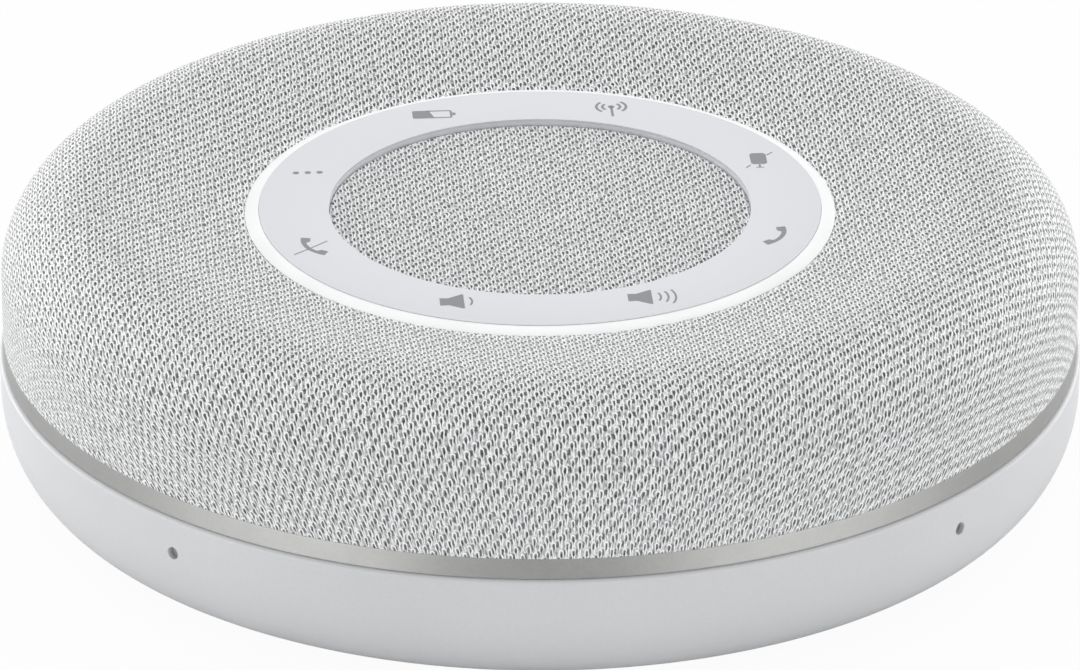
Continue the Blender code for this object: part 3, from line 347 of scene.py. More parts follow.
def node(tree, kind, values=None, output=0, **settings):
    """Add a node with its settings; values are what goes into its sockets, numbers or links."""
    made = tree.nodes.new(kind)
    for name, value in settings.items():
        setattr(made, name, value)
    for socket, value in (values or {}).items():
        if isinstance(value, bpy.types.NodeSocket):
            tree.links.new(value, made.inputs[socket])
        else:
            made.inputs[socket].default_value = value
    return made.outputs[output]


def toned(tree, colour, levels):
    """A colour, as a hex value or a link, made lighter and darker by levels near one."""
    tone = levels[0]
    for level in levels[1:]:
        tone = node(tree, "ShaderNodeMath", {0: tone, 1: level}, operation="MULTIPLY")
    if isinstance(colour, str):
        colour = linear(colour)[:3]
    return node(tree, "ShaderNodeVectorMath", {0: colour, "Scale": tone}, operation="SCALE")


def finish(tree, shader, colour, tones, gloss, relief, depth, strength=1.0):
    """Give the shader a colour, a gloss and a relief that textures vary, and return the relief.

    Each tone, and the gloss, is (texture, low, high), and the texture's values are spread from low to
    high. Two more numbers say which values become low and high, where they aren't those of a noise.
    The relief's depth is in millimetres.
    """
    levels = []
    for texture, low, high, *span in (*tones, gloss):
        start, end = span or NOISE_SPAN
        levels.append(node(tree, "ShaderNodeMapRange", {"Value": texture, "From Min": start, "From Max": end,
                                                        "To Min": low, "To Max": high}))
    *tone_levels, roughness = levels
    tree.links.new(toned(tree, colour, tone_levels), shader.inputs["Base Color"])
    tree.links.new(roughness, shader.inputs["Roughness"])
    bump = node(tree, "ShaderNodeBump", {"Height": relief, "Distance": depth * MM, "Strength": strength})
    tree.links.new(bump, shader.inputs["Normal"])
    return bump


def moulded(name, colour, roughness, grain=0.4, depth=0.004, drift=0.035, ior=1.53):
    """Moulded plastic or rubber: an even colour, a spark-eroded grain and slightly uneven gloss.

    The real grain is near 0.1 mm; it is drawn coarser, so that it shows.
    """
    material, tree, shader = surface(name)
    place = node(tree, "ShaderNodeTexCoord", output="Object")
    broad = node(tree, "ShaderNodeTexNoise", {"Vector": place, "Scale": 1 / (30 * MM), "Detail": 2.0})
    fine = node(tree, "ShaderNodeTexNoise", {"Vector": place, "Scale": 1 / (grain * MM), "Detail": 3.0})
    finish(tree, shader, colour, [(broad, 1 - drift, 1 + drift / 3), (fine, 1 - drift / 2, 1 + drift / 2)],
           (fine, roughness - 0.04, roughness + 0.05), fine, depth)
    shader.inputs["IOR"].default_value = ior
    return material


def blasted(name, colour, roughness, grit=0.16, sparkle=0.05, lean=0.0):
    """Bead-blasted and clear-anodised aluminium: soft reflections broken by a fine glitter.

    Each pit is a small facet, so the gloss changes from grain to grain, and its tone is painted a little
    lighter or darker, a painted glint. A lean turns the shading normal up a little, as a bevelled face's is.
    """
    material, tree, shader = surface(name)
    place = node(tree, "ShaderNodeTexCoord", output="Object")
    pits = node(tree, "ShaderNodeTexVoronoi", {"Vector": place, "Scale": 1 / (grit * MM)}, output="Color")
    pit = node(tree, "ShaderNodeSeparateColor", {"Color": pits}, output="Red")
    cloud = node(tree, "ShaderNodeTexNoise", {"Vector": place, "Scale": 1 / (3.0 * MM), "Detail": 3.0})
    # Each pit's tone is a painted glint, a little lighter or darker from facet to facet
    relief = finish(tree, shader, colour, [(pit, 1 - sparkle, 1 + sparkle, 0, 1), (cloud, 0.97, 1.02)],
                    (pit, roughness - 0.04, roughness + 0.04, 0, 1), pit, 0.002, 0.5)
    face = node(tree, "ShaderNodeNewGeometry", output="Normal")
    tipped = node(tree, "ShaderNodeVectorMath", {0: face, 1: (0, 0, lean)}, operation="ADD")
    leaning = node(tree, "ShaderNodeVectorMath", {0: tipped}, operation="NORMALIZE")
    tree.links.new(leaning, relief.node.inputs["Normal"])
    shader.inputs["Metallic"].default_value = 1.0
    return material


def lathed(name, colour, roughness, pitch=0.3):
    """Turned or stamped steel: faint rings about the axis, each painted with a lighter and a darker side, as
    light falls across a groove.
    """
    material, tree, shader = surface(name)
    place = node(tree, "ShaderNodeTexCoord", output="Object")
    level = node(tree, "ShaderNodeVectorMath", {0: place, 1: (1, 1, 0)}, operation="MULTIPLY")
    radius = node(tree, "ShaderNodeVectorMath", {0: level}, output="Value", operation="LENGTH")
    rings = node(tree, "ShaderNodeTexNoise", {"W": radius, "Scale": 1 / (pitch * MM), "Detail": 2.0},
                 noise_dimensions="1D")
    cloud = node(tree, "ShaderNodeTexNoise", {"Vector": place, "Scale": 1 / (2.5 * MM), "Detail": 3.0})
    # The rings' tone is painted highlight and shade; the rings also give the relief and the gloss
    finish(tree, shader, colour, [(rings, 0.93, 1.04), (cloud, 0.95, 1.02)],
           (rings, roughness - 0.05, roughness + 0.08), rings, 0.004)
    shader.inputs["Metallic"].default_value = 1.0
    return material


def rolled(name, colour, roughness):
    """Rolled sheet steel, plated: hair lines along the strip, which blur what it mirrors."""
    material, tree, shader = surface(name)
    place = node(tree, "ShaderNodeTexCoord", output="Object")
    strip = node(tree, "ShaderNodeVectorMath", {0: place, 1: (0.05, 1, 1)}, operation="MULTIPLY")
    hair = node(tree, "ShaderNodeTexNoise", {"Vector": strip, "Scale": 1 / (0.12 * MM), "Detail": 3.0})
    cloud = node(tree, "ShaderNodeTexNoise", {"Vector": place, "Scale": 1 / (4 * MM), "Detail": 2.0})
    finish(tree, shader, colour, [(hair, 0.94, 1.03), (cloud, 0.95, 1.02)],
           (hair, roughness - 0.05, roughness + 0.1), hair, 0.002)
    shader.inputs["Metallic"].default_value = 1.0
    return material


def circuit(name, mask, track):
    """Solder mask over etched copper: tracks show paler through the mask and stand a little proud."""
    material, tree, shader = surface(name)
    place = node(tree, "ShaderNodeTexCoord", output="Object")
    tracks = node(tree, "ShaderNodeTexBrick", {"Vector": place, "Color1": linear(mask),
                                               "Color2": linear(mask), "Mortar": linear(track),
                                               "Scale": 1 / (2.4 * MM), "Mortar Size": 0.06,
                                               "Brick Width": 1.7, "Row Height": 0.5})
    cloud = node(tree, "ShaderNodeTexNoise", {"Vector": place, "Scale": 1 / (5 * MM), "Detail": 2.0})
    finish(tree, shader, tracks, [(cloud, 0.9, 1.05)], (cloud, 0.3, 0.42), tracks.node.outputs["Fac"], 0.035)
    return material


def foamed(name, colour):
    """Open-cell polyurethane foam: pale struts round small pores, painted dark as the shade in them."""
    material, tree, shader = surface(name)
    place = node(tree, "ShaderNodeTexCoord", output="Object")
    pores = node(tree, "ShaderNodeTexVoronoi", {"Vector": place, "Scale": 1 / (0.45 * MM)})
    # The pores are painted dark, as the shade in them
    finish(tree, shader, colour, [(pores, 0.45, 1.05, 0.1, 0.6)], (pores, 0.98, 0.85, 0.1, 0.6), pores, 0.15)
    return material


def wound(name, colour):
    """Enamelled copper wire wound side by side, under a glossy varnish; it is painted dark between the turns,
    as shade.
    """
    material, tree, shader = surface(name)
    place = node(tree, "ShaderNodeTexCoord", output="Object")
    turns = node(tree, "ShaderNodeTexWave", {"Vector": place, "Scale": 1 / (1.6 * MM)}, output="Fac",
                 bands_direction="Z", wave_profile="SIN")
    cloud = node(tree, "ShaderNodeTexNoise", {"Vector": place, "Scale": 1 / (2 * MM), "Detail": 2.0})
    # The turns are painted dark where they meet, as the shade between the round wires
    finish(tree, shader, colour, [(turns, 0.35, 1.05, 0, 0.6), (cloud, 0.9, 1.05)], (cloud, 0.25, 0.35),
           turns, 0.08)
    shader.inputs["Metallic"].default_value = 1.0
    shader.inputs["Coat Weight"].default_value = 0.5
    shader.inputs["Coat Roughness"].default_value = 0.15
    return material


def pulped(name, colour):
    """Pressed paper pulp: matted fibres, light and dark, on a soft dull face."""
    material, tree, shader = surface(name)
    place = node(tree, "ShaderNodeTexCoord", output="Object")
    fibres = node(tree, "ShaderNodeTexNoise", {"Vector": place, "Scale": 1 / (0.6 * MM), "Detail": 8.0,
                                               "Roughness": 0.7, "Distortion": 1.5})
    clumps = node(tree, "ShaderNodeTexNoise", {"Vector": place, "Scale": 1 / (4 * MM), "Detail": 2.0})
    finish(tree, shader, colour, [(fibres, 0.7, 1.3), (clumps, 0.9, 1.1)], (fibres, 0.75, 0.9), fibres, 0.03)
    return material


def woven(name, colour):
    """Plain-woven cotton set with resin: warp over weft, half a millimetre apart, painted darker where the
    weave lies low, as shade.
    """
    material, tree, shader = surface(name)
    place = node(tree, "ShaderNodeTexCoord", output="Object")
    grid = node(tree, "ShaderNodeVectorMath", {0: place, "Scale": math.pi / (0.5 * MM)}, operation="SCALE")
    waves = node(tree, "ShaderNodeVectorMath", {0: grid}, operation="SINE")
    warp = node(tree, "ShaderNodeSeparateXYZ", {0: waves}, output="X")
    over = node(tree, "ShaderNodeMath", {0: warp, 1: warp.node.outputs["Y"]}, operation="MULTIPLY")
    # Where the weave lies low it is painted darker, as shade
    finish(tree, shader, colour, [(over, 0.6, 1.1, -0.8, 0.8)], (over, 0.7, 0.5, -0.8, 0.8), over, 0.12)
    return material


def sleeved(name, colour):
    """A heat-shrunk PVC sleeve: glossy, with fine tight creases along the cell, painted darker in the creases
    and lighter on the ridges, as shade and light.
    """
    material, tree, shader = surface(name)
    place = node(tree, "ShaderNodeTexCoord", output="Object")
    along = node(tree, "ShaderNodeVectorMath", {0: place, 1: (0.2, 1, 1)}, operation="MULTIPLY")
    creases = node(tree, "ShaderNodeTexNoise", {"Vector": along, "Scale": 1 / (2.5 * MM), "Detail": 4.0,
                                                "Distortion": 0.8})
    # The creases are painted darker and their ridges lighter, as shade and light
    finish(tree, shader, colour, [(creases, 0.88, 1.08)], (creases, 0.22, 0.36), creases, 0.06)
    return material


def glowing(name, colour, strength):
    """Milky light guide, lit from below: nearly even, with a faint cloud from lamp to lamp.

    Its walls are blacked out, so that light leaves by the top alone.
    """
    material, tree, shader = surface(name)
    place = node(tree, "ShaderNodeTexCoord", output="Object")
    cloud = node(tree, "ShaderNodeTexNoise", {"Vector": place, "Scale": 1 / (9 * MM), "Detail": 1.0})
    normal = node(tree, "ShaderNodeNewGeometry", output="True Normal")
    upward = node(tree, "ShaderNodeSeparateXYZ", {0: normal}, output="Z")
    top = node(tree, "ShaderNodeMapRange", {"Value": upward, "From Min": 0.3, "From Max": 0.6})
    level = node(tree, "ShaderNodeMapRange", {"Value": cloud, "From Min": NOISE_SPAN[0],
                                              "From Max": NOISE_SPAN[1], "To Min": 0.96, "To Max": 1.0})
    pale = node(tree, "ShaderNodeMapRange", {"Value": top, "To Min": 0.35, "To Max": 1.0})
    tree.links.new(toned(tree, colour, (level, pale)), shader.inputs["Base Color"])
    tree.links.new(toned(tree, colour, (level, top)), shader.inputs["Emission Color"])
    shader.inputs["Emission Strength"].default_value = strength
    shader.inputs["Roughness"].default_value = 0.35
    return material


# The knit: each loop is an arch on two legs, which draw together below and pass behind the next arch

def loop_place(tree, cloth):
    """Where a point of the cloth lies in its loop, in millimetres, and that loop's own chance.

    It gives the way down from the arch, the way from the loop's middle, the same as a signed share
    of a wale, and the chance, whose node has two more. Every other column is shifted half a course.
    """
    cell = node(tree, "ShaderNodeVectorMath", {0: cloth, 1: (WALE, COURSE, 1)}, operation="DIVIDE")
    over = node(tree, "ShaderNodeSeparateXYZ", {0: cell}, output="X")
    up = over.node.outputs["Y"]
    column = node(tree, "ShaderNodeMath", {0: over}, operation="FLOOR")
    odd = node(tree, "ShaderNodeMath", {0: column, 1: 2.0}, operation="FLOORED_MODULO")
    staggered = node(tree, "ShaderNodeMath", {0: odd, 1: 0.5, 2: up}, operation="MULTIPLY_ADD")
    row = node(tree, "ShaderNodeMath", {0: staggered}, operation="FLOOR")
    number = node(tree, "ShaderNodeCombineXYZ", {"X": column, "Y": row})
    chances = node(tree, "ShaderNodeTexWhiteNoise", {"Vector": number}, output="Color", noise_dimensions="2D")
    chance = node(tree, "ShaderNodeSeparateColor", {"Color": chances}, output="Red")
    along = node(tree, "ShaderNodeMath", {0: staggered}, operation="FRACT")
    hung = node(tree, "ShaderNodeMath", {0: along, 1: -COURSE, 2: COURSE}, operation="MULTIPLY_ADD")
    below = node(tree, "ShaderNodeMath", {0: chance, 1: 0.16, 2: hung}, operation="MULTIPLY_ADD")
    within = node(tree, "ShaderNodeMath", {0: over}, operation="FRACT")
    nudge = node(tree, "ShaderNodeMapRange", {"Value": chance.node.outputs["Blue"],
                                              "To Min": -0.57, "To Max": -0.43})
    centred = node(tree, "ShaderNodeMath", {0: within, 1: nudge}, operation="ADD")
    side = node(tree, "ShaderNodeMath", {0: centred}, operation="ABSOLUTE")
    across = node(tree, "ShaderNodeMath", {0: side, 1: WALE}, operation="MULTIPLY")
    return below, across, centred, chance


def loop_thread(tree, below, across):
    """The loop's round thread: how high it stands at a point, and whether it covers the point."""
    to_arch = node(tree, "ShaderNodeMath", {0: ARCH_DROP + ARCH, 1: below}, operation="SUBTRACT")
    above = node(tree, "ShaderNodeMath", {0: to_arch, 1: 0.0}, operation="MAXIMUM")
    spoke = node(tree, "ShaderNodeCombineXYZ", {"X": across, "Y": above})
    reach = node(tree, "ShaderNodeVectorMath", {0: spoke}, output="Value", operation="LENGTH")
    spread = node(tree, "ShaderNodeMapRange", {"Value": below, "From Min": 0.8, "From Max": 1.35,
                                               "To Min": ARCH, "To Max": LEGS_TOGETHER},
                  interpolation_type="SMOOTHSTEP")
    apart = node(tree, "ShaderNodeMath", {0: reach, 1: spread}, operation="SUBTRACT")
    off = node(tree, "ShaderNodeMath", {0: apart}, operation="ABSOLUTE")
    round_top = node(tree, "ShaderNodeMapRange", {"Value": off, "From Min": 0.0, "From Max": THREAD * 1.1,
                                                  "To Min": 1.0, "To Max": 0.0},
                     interpolation_type="SMOOTHSTEP")
    lift = node(tree, "ShaderNodeMapRange", {"Value": below, "From Min": 0.3, "From Max": 1.3,
                                             "To Min": 1.0, "To Max": 0.6})
    height = node(tree, "ShaderNodeMath", {0: round_top, 1: lift}, operation="MULTIPLY")
    cover = node(tree, "ShaderNodeMapRange", {"Value": off, "From Min": THREAD * 0.8,
                                              "From Max": THREAD * 1.15, "To Min": 1.0, "To Max": 0.0},
                 interpolation_type="SMOOTHSTEP")
    return height, cover


def loop_gaps(tree, below, across, centred, chance, broken):
    """How open the slit under the arch is at a point, and how open the gaps beside the loop are."""
    from_slit = node(tree, "ShaderNodeMath", {0: below, 1: SLIT_AT}, operation="SUBTRACT")
    slit_off = node(tree, "ShaderNodeMath", {0: from_slit}, operation="ABSOLUTE")
    slit_long = node(tree, "ShaderNodeMapRange", {"Value": slit_off, "From Min": SLIT_OPEN,
                                                  "From Max": SLIT_END, "To Min": 1.0, "To Max": 0.0})
    slit_wide = node(tree, "ShaderNodeMapRange", {"Value": across, "From Min": SLIT_SIDE,
                                                  "From Max": SLIT_EDGE, "To Min": 1.0, "To Max": 0.0})
    uneven = node(tree, "ShaderNodeMapRange", {"Value": chance, "To Min": 0.6, "To Max": 1.0})
    slit = slit_long
    for level in (slit_wide, uneven, broken):
        slit = node(tree, "ShaderNodeMath", {0: slit, 1: level}, operation="MULTIPLY")
    # Right of an arch and left of the legs below it, no thread crosses behind the gap
    beside = node(tree, "ShaderNodeMapRange", {"Value": centred, "From Min": -0.2, "From Max": 0.2,
                                               "To Min": GAP_LOW, "To Max": GAP_HIGH})
    from_gap = node(tree, "ShaderNodeMath", {0: below, 1: beside}, operation="SUBTRACT")
    gap_off = node(tree, "ShaderNodeMath", {0: from_gap}, operation="ABSOLUTE")
    clear = node(tree, "ShaderNodeMapRange", {"Value": gap_off, "From Min": GAP_OPEN, "From Max": GAP_END,
                                              "To Min": 1.0, "To Max": 0.0})
    # On its other side one thread crosses, so the gap there is shorter and paler
    summed = node(tree, "ShaderNodeMath", {0: below, 1: beside}, operation="ADD")
    from_other = node(tree, "ShaderNodeMath", {0: summed, 1: GAP_LOW + GAP_HIGH}, operation="SUBTRACT")
    other_off = node(tree, "ShaderNodeMath", {0: from_other}, operation="ABSOLUTE")
    crossed = node(tree, "ShaderNodeMapRange", {"Value": other_off, "From Min": CROSSED_OPEN,
                                                "From Max": CROSSED_END, "To Min": 0.4, "To Max": 0.0})
    gap = node(tree, "ShaderNodeMath", {0: clear, 1: crossed}, operation="MAXIMUM")
    return slit, node(tree, "ShaderNodeMath", {0: gap, 1: broken}, operation="MULTIPLY")


def knit(name, thread, flank_shade, crossing, gap, slit_shade):
    """Stretched polyester knit: white loops in staggered columns over dark slits.

    A slit under the arch shows the grille behind, painted darker than the grille as the shade under the arch;
    the gaps between columns are paler, because threads cross behind them. Fibres and pull make every loop a
    little different.
    """
    material, tree, shader = surface(name)
    flat = node(tree, "ShaderNodeUVMap", uv_map="knit")
    drift = node(tree, "ShaderNodeTexNoise", {"Vector": flat, "Scale": 1 / PULL_LENGTH, "Detail": 1.0},
                 output="Color")
    wobble = node(tree, "ShaderNodeTexNoise", {"Vector": flat, "Scale": 1 / WOBBLE_LENGTH, "Detail": 1.0},
                  output="Color")
    pulled = node(tree, "ShaderNodeVectorMath", {0: drift, 1: PULL, 2: flat}, operation="MULTIPLY_ADD")
    loose = node(tree, "ShaderNodeVectorMath", {0: wobble, 1: WOBBLE, 2: pulled}, operation="MULTIPLY_ADD")
    below, across, centred, chance = loop_place(tree, loose)
    height, cover = loop_thread(tree, below, across)

    # Fibres break up the slits, which close a little toward the hem, where the cloth is stretched less
    fibre = node(tree, "ShaderNodeTexNoise", {"Vector": flat, "Scale": 1 / FIBRE, "Detail": 2.0})
    fibrous = node(tree, "ShaderNodeMapRange", {"Value": fibre, "From Min": 0.35, "From Max": 0.55,
                                                "To Min": 0.7, "To Max": 1.0})
    radius = node(tree, "ShaderNodeVectorMath", {0: flat}, output="Value", operation="LENGTH")
    stretched = node(tree, "ShaderNodeMapRange", {"Value": radius, "From Min": DISH_INNER + SLACK_FROM,
                                                  "From Max": DISH_INNER + SLACK_TO,
                                                  "To Min": 1.0, "To Max": 0.8})
    broken = node(tree, "ShaderNodeMath", {0: fibrous, 1: stretched}, operation="MULTIPLY")
    slit, clear = loop_gaps(tree, below, across, centred, chance, broken)

    # Threads that cross behind, some in light and some in shade
    specks = node(tree, "ShaderNodeVectorMath", {0: loose, 1: (1 / SPECK[0], 1 / SPECK[1], 0)},
                  operation="MULTIPLY")
    speck = node(tree, "ShaderNodeTexNoise", {"Vector": specks, "Scale": 1.0, "Detail": 1.0})
    mottle = node(tree, "ShaderNodeMapRange", {"Value": speck, "From Min": 0.36, "From Max": 0.62,
                                               "To Min": 0.7, "To Max": 1.35})
    behind = node(tree, "ShaderNodeMix", {"Factor": clear, "A": toned(tree, crossing, (mottle,)),
                                          "B": linear(gap)}, output="Result", data_type="RGBA")
    # The slit shows the grille, painted darker still as the shade under the arch
    hole = node(tree, "ShaderNodeMix", {"Factor": slit, "A": behind, "B": linear(slit_shade)},
                output="Result", data_type="RGBA")
    # Painted highlight and shade: each thread is lighter on its round top and darker on its flanks
    lit = node(tree, "ShaderNodeMix", {"Factor": height, "A": linear(flank_shade), "B": linear(thread)},
               output="Result", data_type="RGBA")
    cloth = node(tree, "ShaderNodeMix", {"Factor": cover, "A": hole, "B": lit},
                 output="Result", data_type="RGBA")

    # Each loop's own tint, its fuzz, the strands that part along its legs and the shade low in it
    tint = node(tree, "ShaderNodeMapRange", {"Value": chance.node.outputs["Green"],
                                             "To Min": 0.97, "To Max": 1.03})
    fuzz = node(tree, "ShaderNodeMapRange", {"Value": fibre, "From Min": 0.3, "From Max": 0.7,
                                             "To Min": 0.95, "To Max": 1.06})
    filaments = node(tree, "ShaderNodeVectorMath", {0: loose, 1: (1 / FILAMENT[0], 1 / FILAMENT[1], 0)},
                     operation="MULTIPLY")
    strands = node(tree, "ShaderNodeTexNoise", {"Vector": filaments, "Scale": 1.0, "Detail": 1.0})
    parted = node(tree, "ShaderNodeMapRange", {"Value": strands, "From Min": 0.38, "From Max": 0.56,
                                               "To Min": 0.62, "To Max": 1.12})
    leg = node(tree, "ShaderNodeMapRange", {"Value": below, "From Min": 0.3, "From Max": 0.6})
    strand = node(tree, "ShaderNodeMix", {"Factor": leg, "A": 1.0, "B": parted}, output="Result")
    shaded = node(tree, "ShaderNodeMapRange", {"Value": below, "From Min": 0.45, "From Max": 1.2,
                                               "To Min": 1.0, "To Max": 0.94})
    varied = toned(tree, cloth, (tint, fuzz, strand, shaded))
    colour = node(tree, "ShaderNodeVectorMath", {0: varied, 1: (1, 1, 1)}, operation="MINIMUM")
    tree.links.new(colour, shader.inputs["Base Color"])

    # Painted glow: the cloth beside the band is given a little emission, standing in for the band's light
    # soaking into it
    painted_band_glow = node(tree, "ShaderNodeMapRange", {"Value": radius, "From Min": DISH_INNER,
                                               "From Max": DISH_INNER + GLOW_REACH,
                                               "To Min": 0.14, "To Max": 0.0},
                  interpolation_type="SMOOTHSTEP")
    beyond = node(tree, "ShaderNodeMath", {0: radius, 1: RING_OUTER}, operation="GREATER_THAN")
    glow = node(tree, "ShaderNodeMath", {0: painted_band_glow, 1: beyond}, operation="MULTIPLY")
    tree.links.new(colour, shader.inputs["Emission Color"])
    tree.links.new(glow, shader.inputs["Emission Strength"])

    bump = node(tree, "ShaderNodeBump", {"Height": height, "Distance": 0.2 * MM, "Strength": 0.15})
    tree.links.new(bump, shader.inputs["Normal"])
    shader.inputs["Roughness"].default_value = 0.75
    shader.inputs["Specular IOR Level"].default_value = 0.25
    shader.inputs["Sheen Weight"].default_value = 0.35
    shader.inputs["Sheen Roughness"].default_value = 0.5
    return material


# Put the pieces together

def dress(piece, material, body="body", replaces=()):
    """Give a piece its material, the body that it rides on and the CAD nodes that it stands for.

    The material is a slot of the record, or one that only the scene has.
    """
    piece.data.materials.append(FINISHES.get(material, material))
    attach(piece, body)
    if replaces:
        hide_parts(*replaces)


def dome_line(inset):
    """The cover's line from the light ring out over the shoulder to its foot: (radius, height)."""
    slope = (CROWN - LIGHT_EDGE) / (SHOULDER_CENTRE - DISH_INNER - DISH_BLEND / 2)
    bend = SHOULDER_CENTRE - DISH_BLEND
    line = []
    for index in range(DISH_POINTS):
        radius = DISH_INNER + (bend - DISH_INNER) * index / DISH_POINTS
        line.append((radius, LIGHT_EDGE + slope * (radius - DISH_INNER) - inset))
    for index in range(BLEND_POINTS):
        share = index / BLEND_POINTS
        radius = bend + DISH_BLEND * share
        line.append((radius, CROWN - slope * DISH_BLEND / 2 * (1 - share) ** 2 - inset))
    for index in range(SHOULDER_POINTS + 1):
        angle = math.pi / 2 * index / SHOULDER_POINTS
        line.append((SHOULDER_CENTRE + (SHOULDER_WIDTH - inset) * math.sin(angle),
                     SHOULDER_BASE + (SHOULDER_HEIGHT - inset) * math.cos(angle)))
    for index in range(1, WALL_POINTS + 1):
        fall = (COVER_FOOT + HEM - SHOULDER_BASE) * index / WALL_POINTS
        line.append((COVER_WALL - inset, SHOULDER_BASE + fall))
    return line


def lay_knit(piece, line):
    """Map the flat cloth onto a turned piece: along its line from the centre, turned about the axis."""
    lengths = [0.0]
    for first, second in zip(line, line[1:]):
        lengths.append(lengths[-1] + math.dist(first, second))
    start = line[0][0]
    mesh = piece.data
    spread = mesh.uv_layers.new(name="knit")
    for polygon in mesh.polygons:
        for corner in polygon.loop_indices:
            x, y, z = mesh.vertices[mesh.loops[corner].vertex_index].co / MM
            radius = math.hypot(x, y)
            near = min(range(len(line)), key=lambda index: math.dist(line[index], (radius, z)))
            before = max(near - 1, 0)
            after = min(near + 1, len(line) - 1)
            run = Vector(line[after]) - Vector(line[before])
            step = (Vector((radius, z)) - Vector(line[near])).dot(run.normalized()) if run.length else 0.0
            reach = start + lengths[near] + step
            scale = reach / radius if radius > 0.001 else 1.0
            spread.data[corner].uv = (x * scale, y * scale)


def make_cover():
    """The knitted skin over the dome: one closed sheet with its two edges folded round."""
    outer = dome_line(0)
    inner = dome_line(CLOTH)
    foot = [(COVER_WALL, COVER_FOOT + 0.04), (COVER_WALL - 0.04, COVER_FOOT),
            (COVER_WALL - CLOTH + 0.1, COVER_FOOT)]
    lip = [(DISH_INNER - 0.1, LIGHT_EDGE - CLOTH * 0.75), (DISH_INNER - 0.14, LIGHT_EDGE - CLOTH * 0.5),
           (DISH_INNER - 0.1, LIGHT_EDGE - CLOTH * 0.2)]
    cover = turned("knit_cover", outer + foot + inner[::-1] + lip, sharp=SHARP_CLOTH)
    lay_knit(cover, outer)
    dress(cover, "knit_fabric", replaces=["fabric_cover"])


def make_centre():
    """The disc of the same knit inside the touch ring, glued to its grille and turned down at the edge."""
    radius = RING_INNER - CENTRE_GAP
    foot = foot_of("centre_fabric")
    line = [(radius * index / CENTRE_POINTS, CENTRE_TOP) for index in range(CENTRE_POINTS)]
    line += [(radius - 0.3, CENTRE_TOP), (radius - 0.1, CENTRE_TOP - 0.08), (radius, CENTRE_TOP - 0.28)]
    centre = turned("centre_knit", line + [(radius, foot), (0, foot)], RING_STEPS, on_axis=True,
                    sharp=SHARP_CLOTH)
    lay_knit(centre, line)
    dress(centre, "knit_fabric", replaces=["centre_fabric"])


def make_touch_ring():
    """The satin touch ring: a flat face on a skirt, with a groove under the film at its inner edge."""
    foot = foot_of("touch_ring")
    outer_foot = foot_of("light_ring") + LIGHT_FLANGE_THICKNESS + SEAT_GAP
    inside = RING_TOP - RING_THICKNESS
    film_foot = RING_TOP - FILM - FILM_GAP
    ring = turned("touch_ring_cap", rounded([
        (RING_INNER, RING_TOP, 0.02), (RING_OUTER, RING_TOP, 0.06), (RING_OUTER, outer_foot, 0),
        (RING_OUTER - RING_SKIRT, outer_foot, 0), (RING_OUTER - RING_SKIRT, inside, 0),
        (RING_INNER + RING_SKIRT, inside, 0), (RING_INNER + RING_SKIRT, foot, 0), (RING_INNER, foot, 0),
        (RING_INNER, film_foot, 0.04), (RING_INNER + FILM_STEP, film_foot, 0),
        (RING_INNER + FILM_STEP, RING_TOP - FILM, 0), (RING_INNER, RING_TOP - FILM, 0)]), RING_STEPS)
    dress(ring, "ring_plastic", replaces=["touch_ring"])


def make_light_band():
    """The lit band round the touch ring: its face falls to the cloth, and its flange lies below."""
    foot = foot_of("light_ring")
    inner = RING_OUTER + LIGHT_GAP
    outer = DISH_INNER - 0.1
    light = turned("light_band", rounded([
        (inner, LIGHT_TOP, 0.03), ((inner + outer) / 2, LIGHT_TOP - 0.1, 0),
        (outer, LIGHT_TOP - LIGHT_FALL, 0.05), (outer, LIGHT_EDGE - CLOTH * 0.7, 0),
        (LIGHT_OUTER, LIGHT_EDGE - CLOTH, 0), (LIGHT_OUTER, foot, 0), (inner - LIGHT_FLANGE, foot, 0),
        (inner - LIGHT_FLANGE, foot + LIGHT_FLANGE_THICKNESS, 0),
        (inner, foot + LIGHT_FLANGE_THICKNESS, 0)]), RING_STEPS)
    dress(light, "light_guide", replaces=["light_ring"])


def make_trim():
    """The metal trim between cover and housing, whose face leans in toward its foot."""
    low = RIM + 0.01
    high = top_of("trim_ring")
    foot = BODY - TRIM_SET_BACK
    edge = COVER_WALL + 0.01
    trim = turned("metal_trim", rounded([
        (foot - TRIM_DEPTH, high, 0), (edge, high, 0.03), (edge, high - 0.1, 0), (foot, low + 0.2, 0),
        (foot, low, 0.05), (foot - TRIM_DEPTH, low, 0)]))
    dress(trim, "trim_metal", replaces=["trim_ring"])


def pill_piece(name, levels, degrees, height):
    """A pill through the housing's side, facing outwards at an angle and a height."""
    shape = bmesh.new()
    pill(shape, levels, facing(degrees, height))
    bmesh.ops.recalc_face_normals(shape, faces=shape.faces[:])
    return to_piece(name, shape)


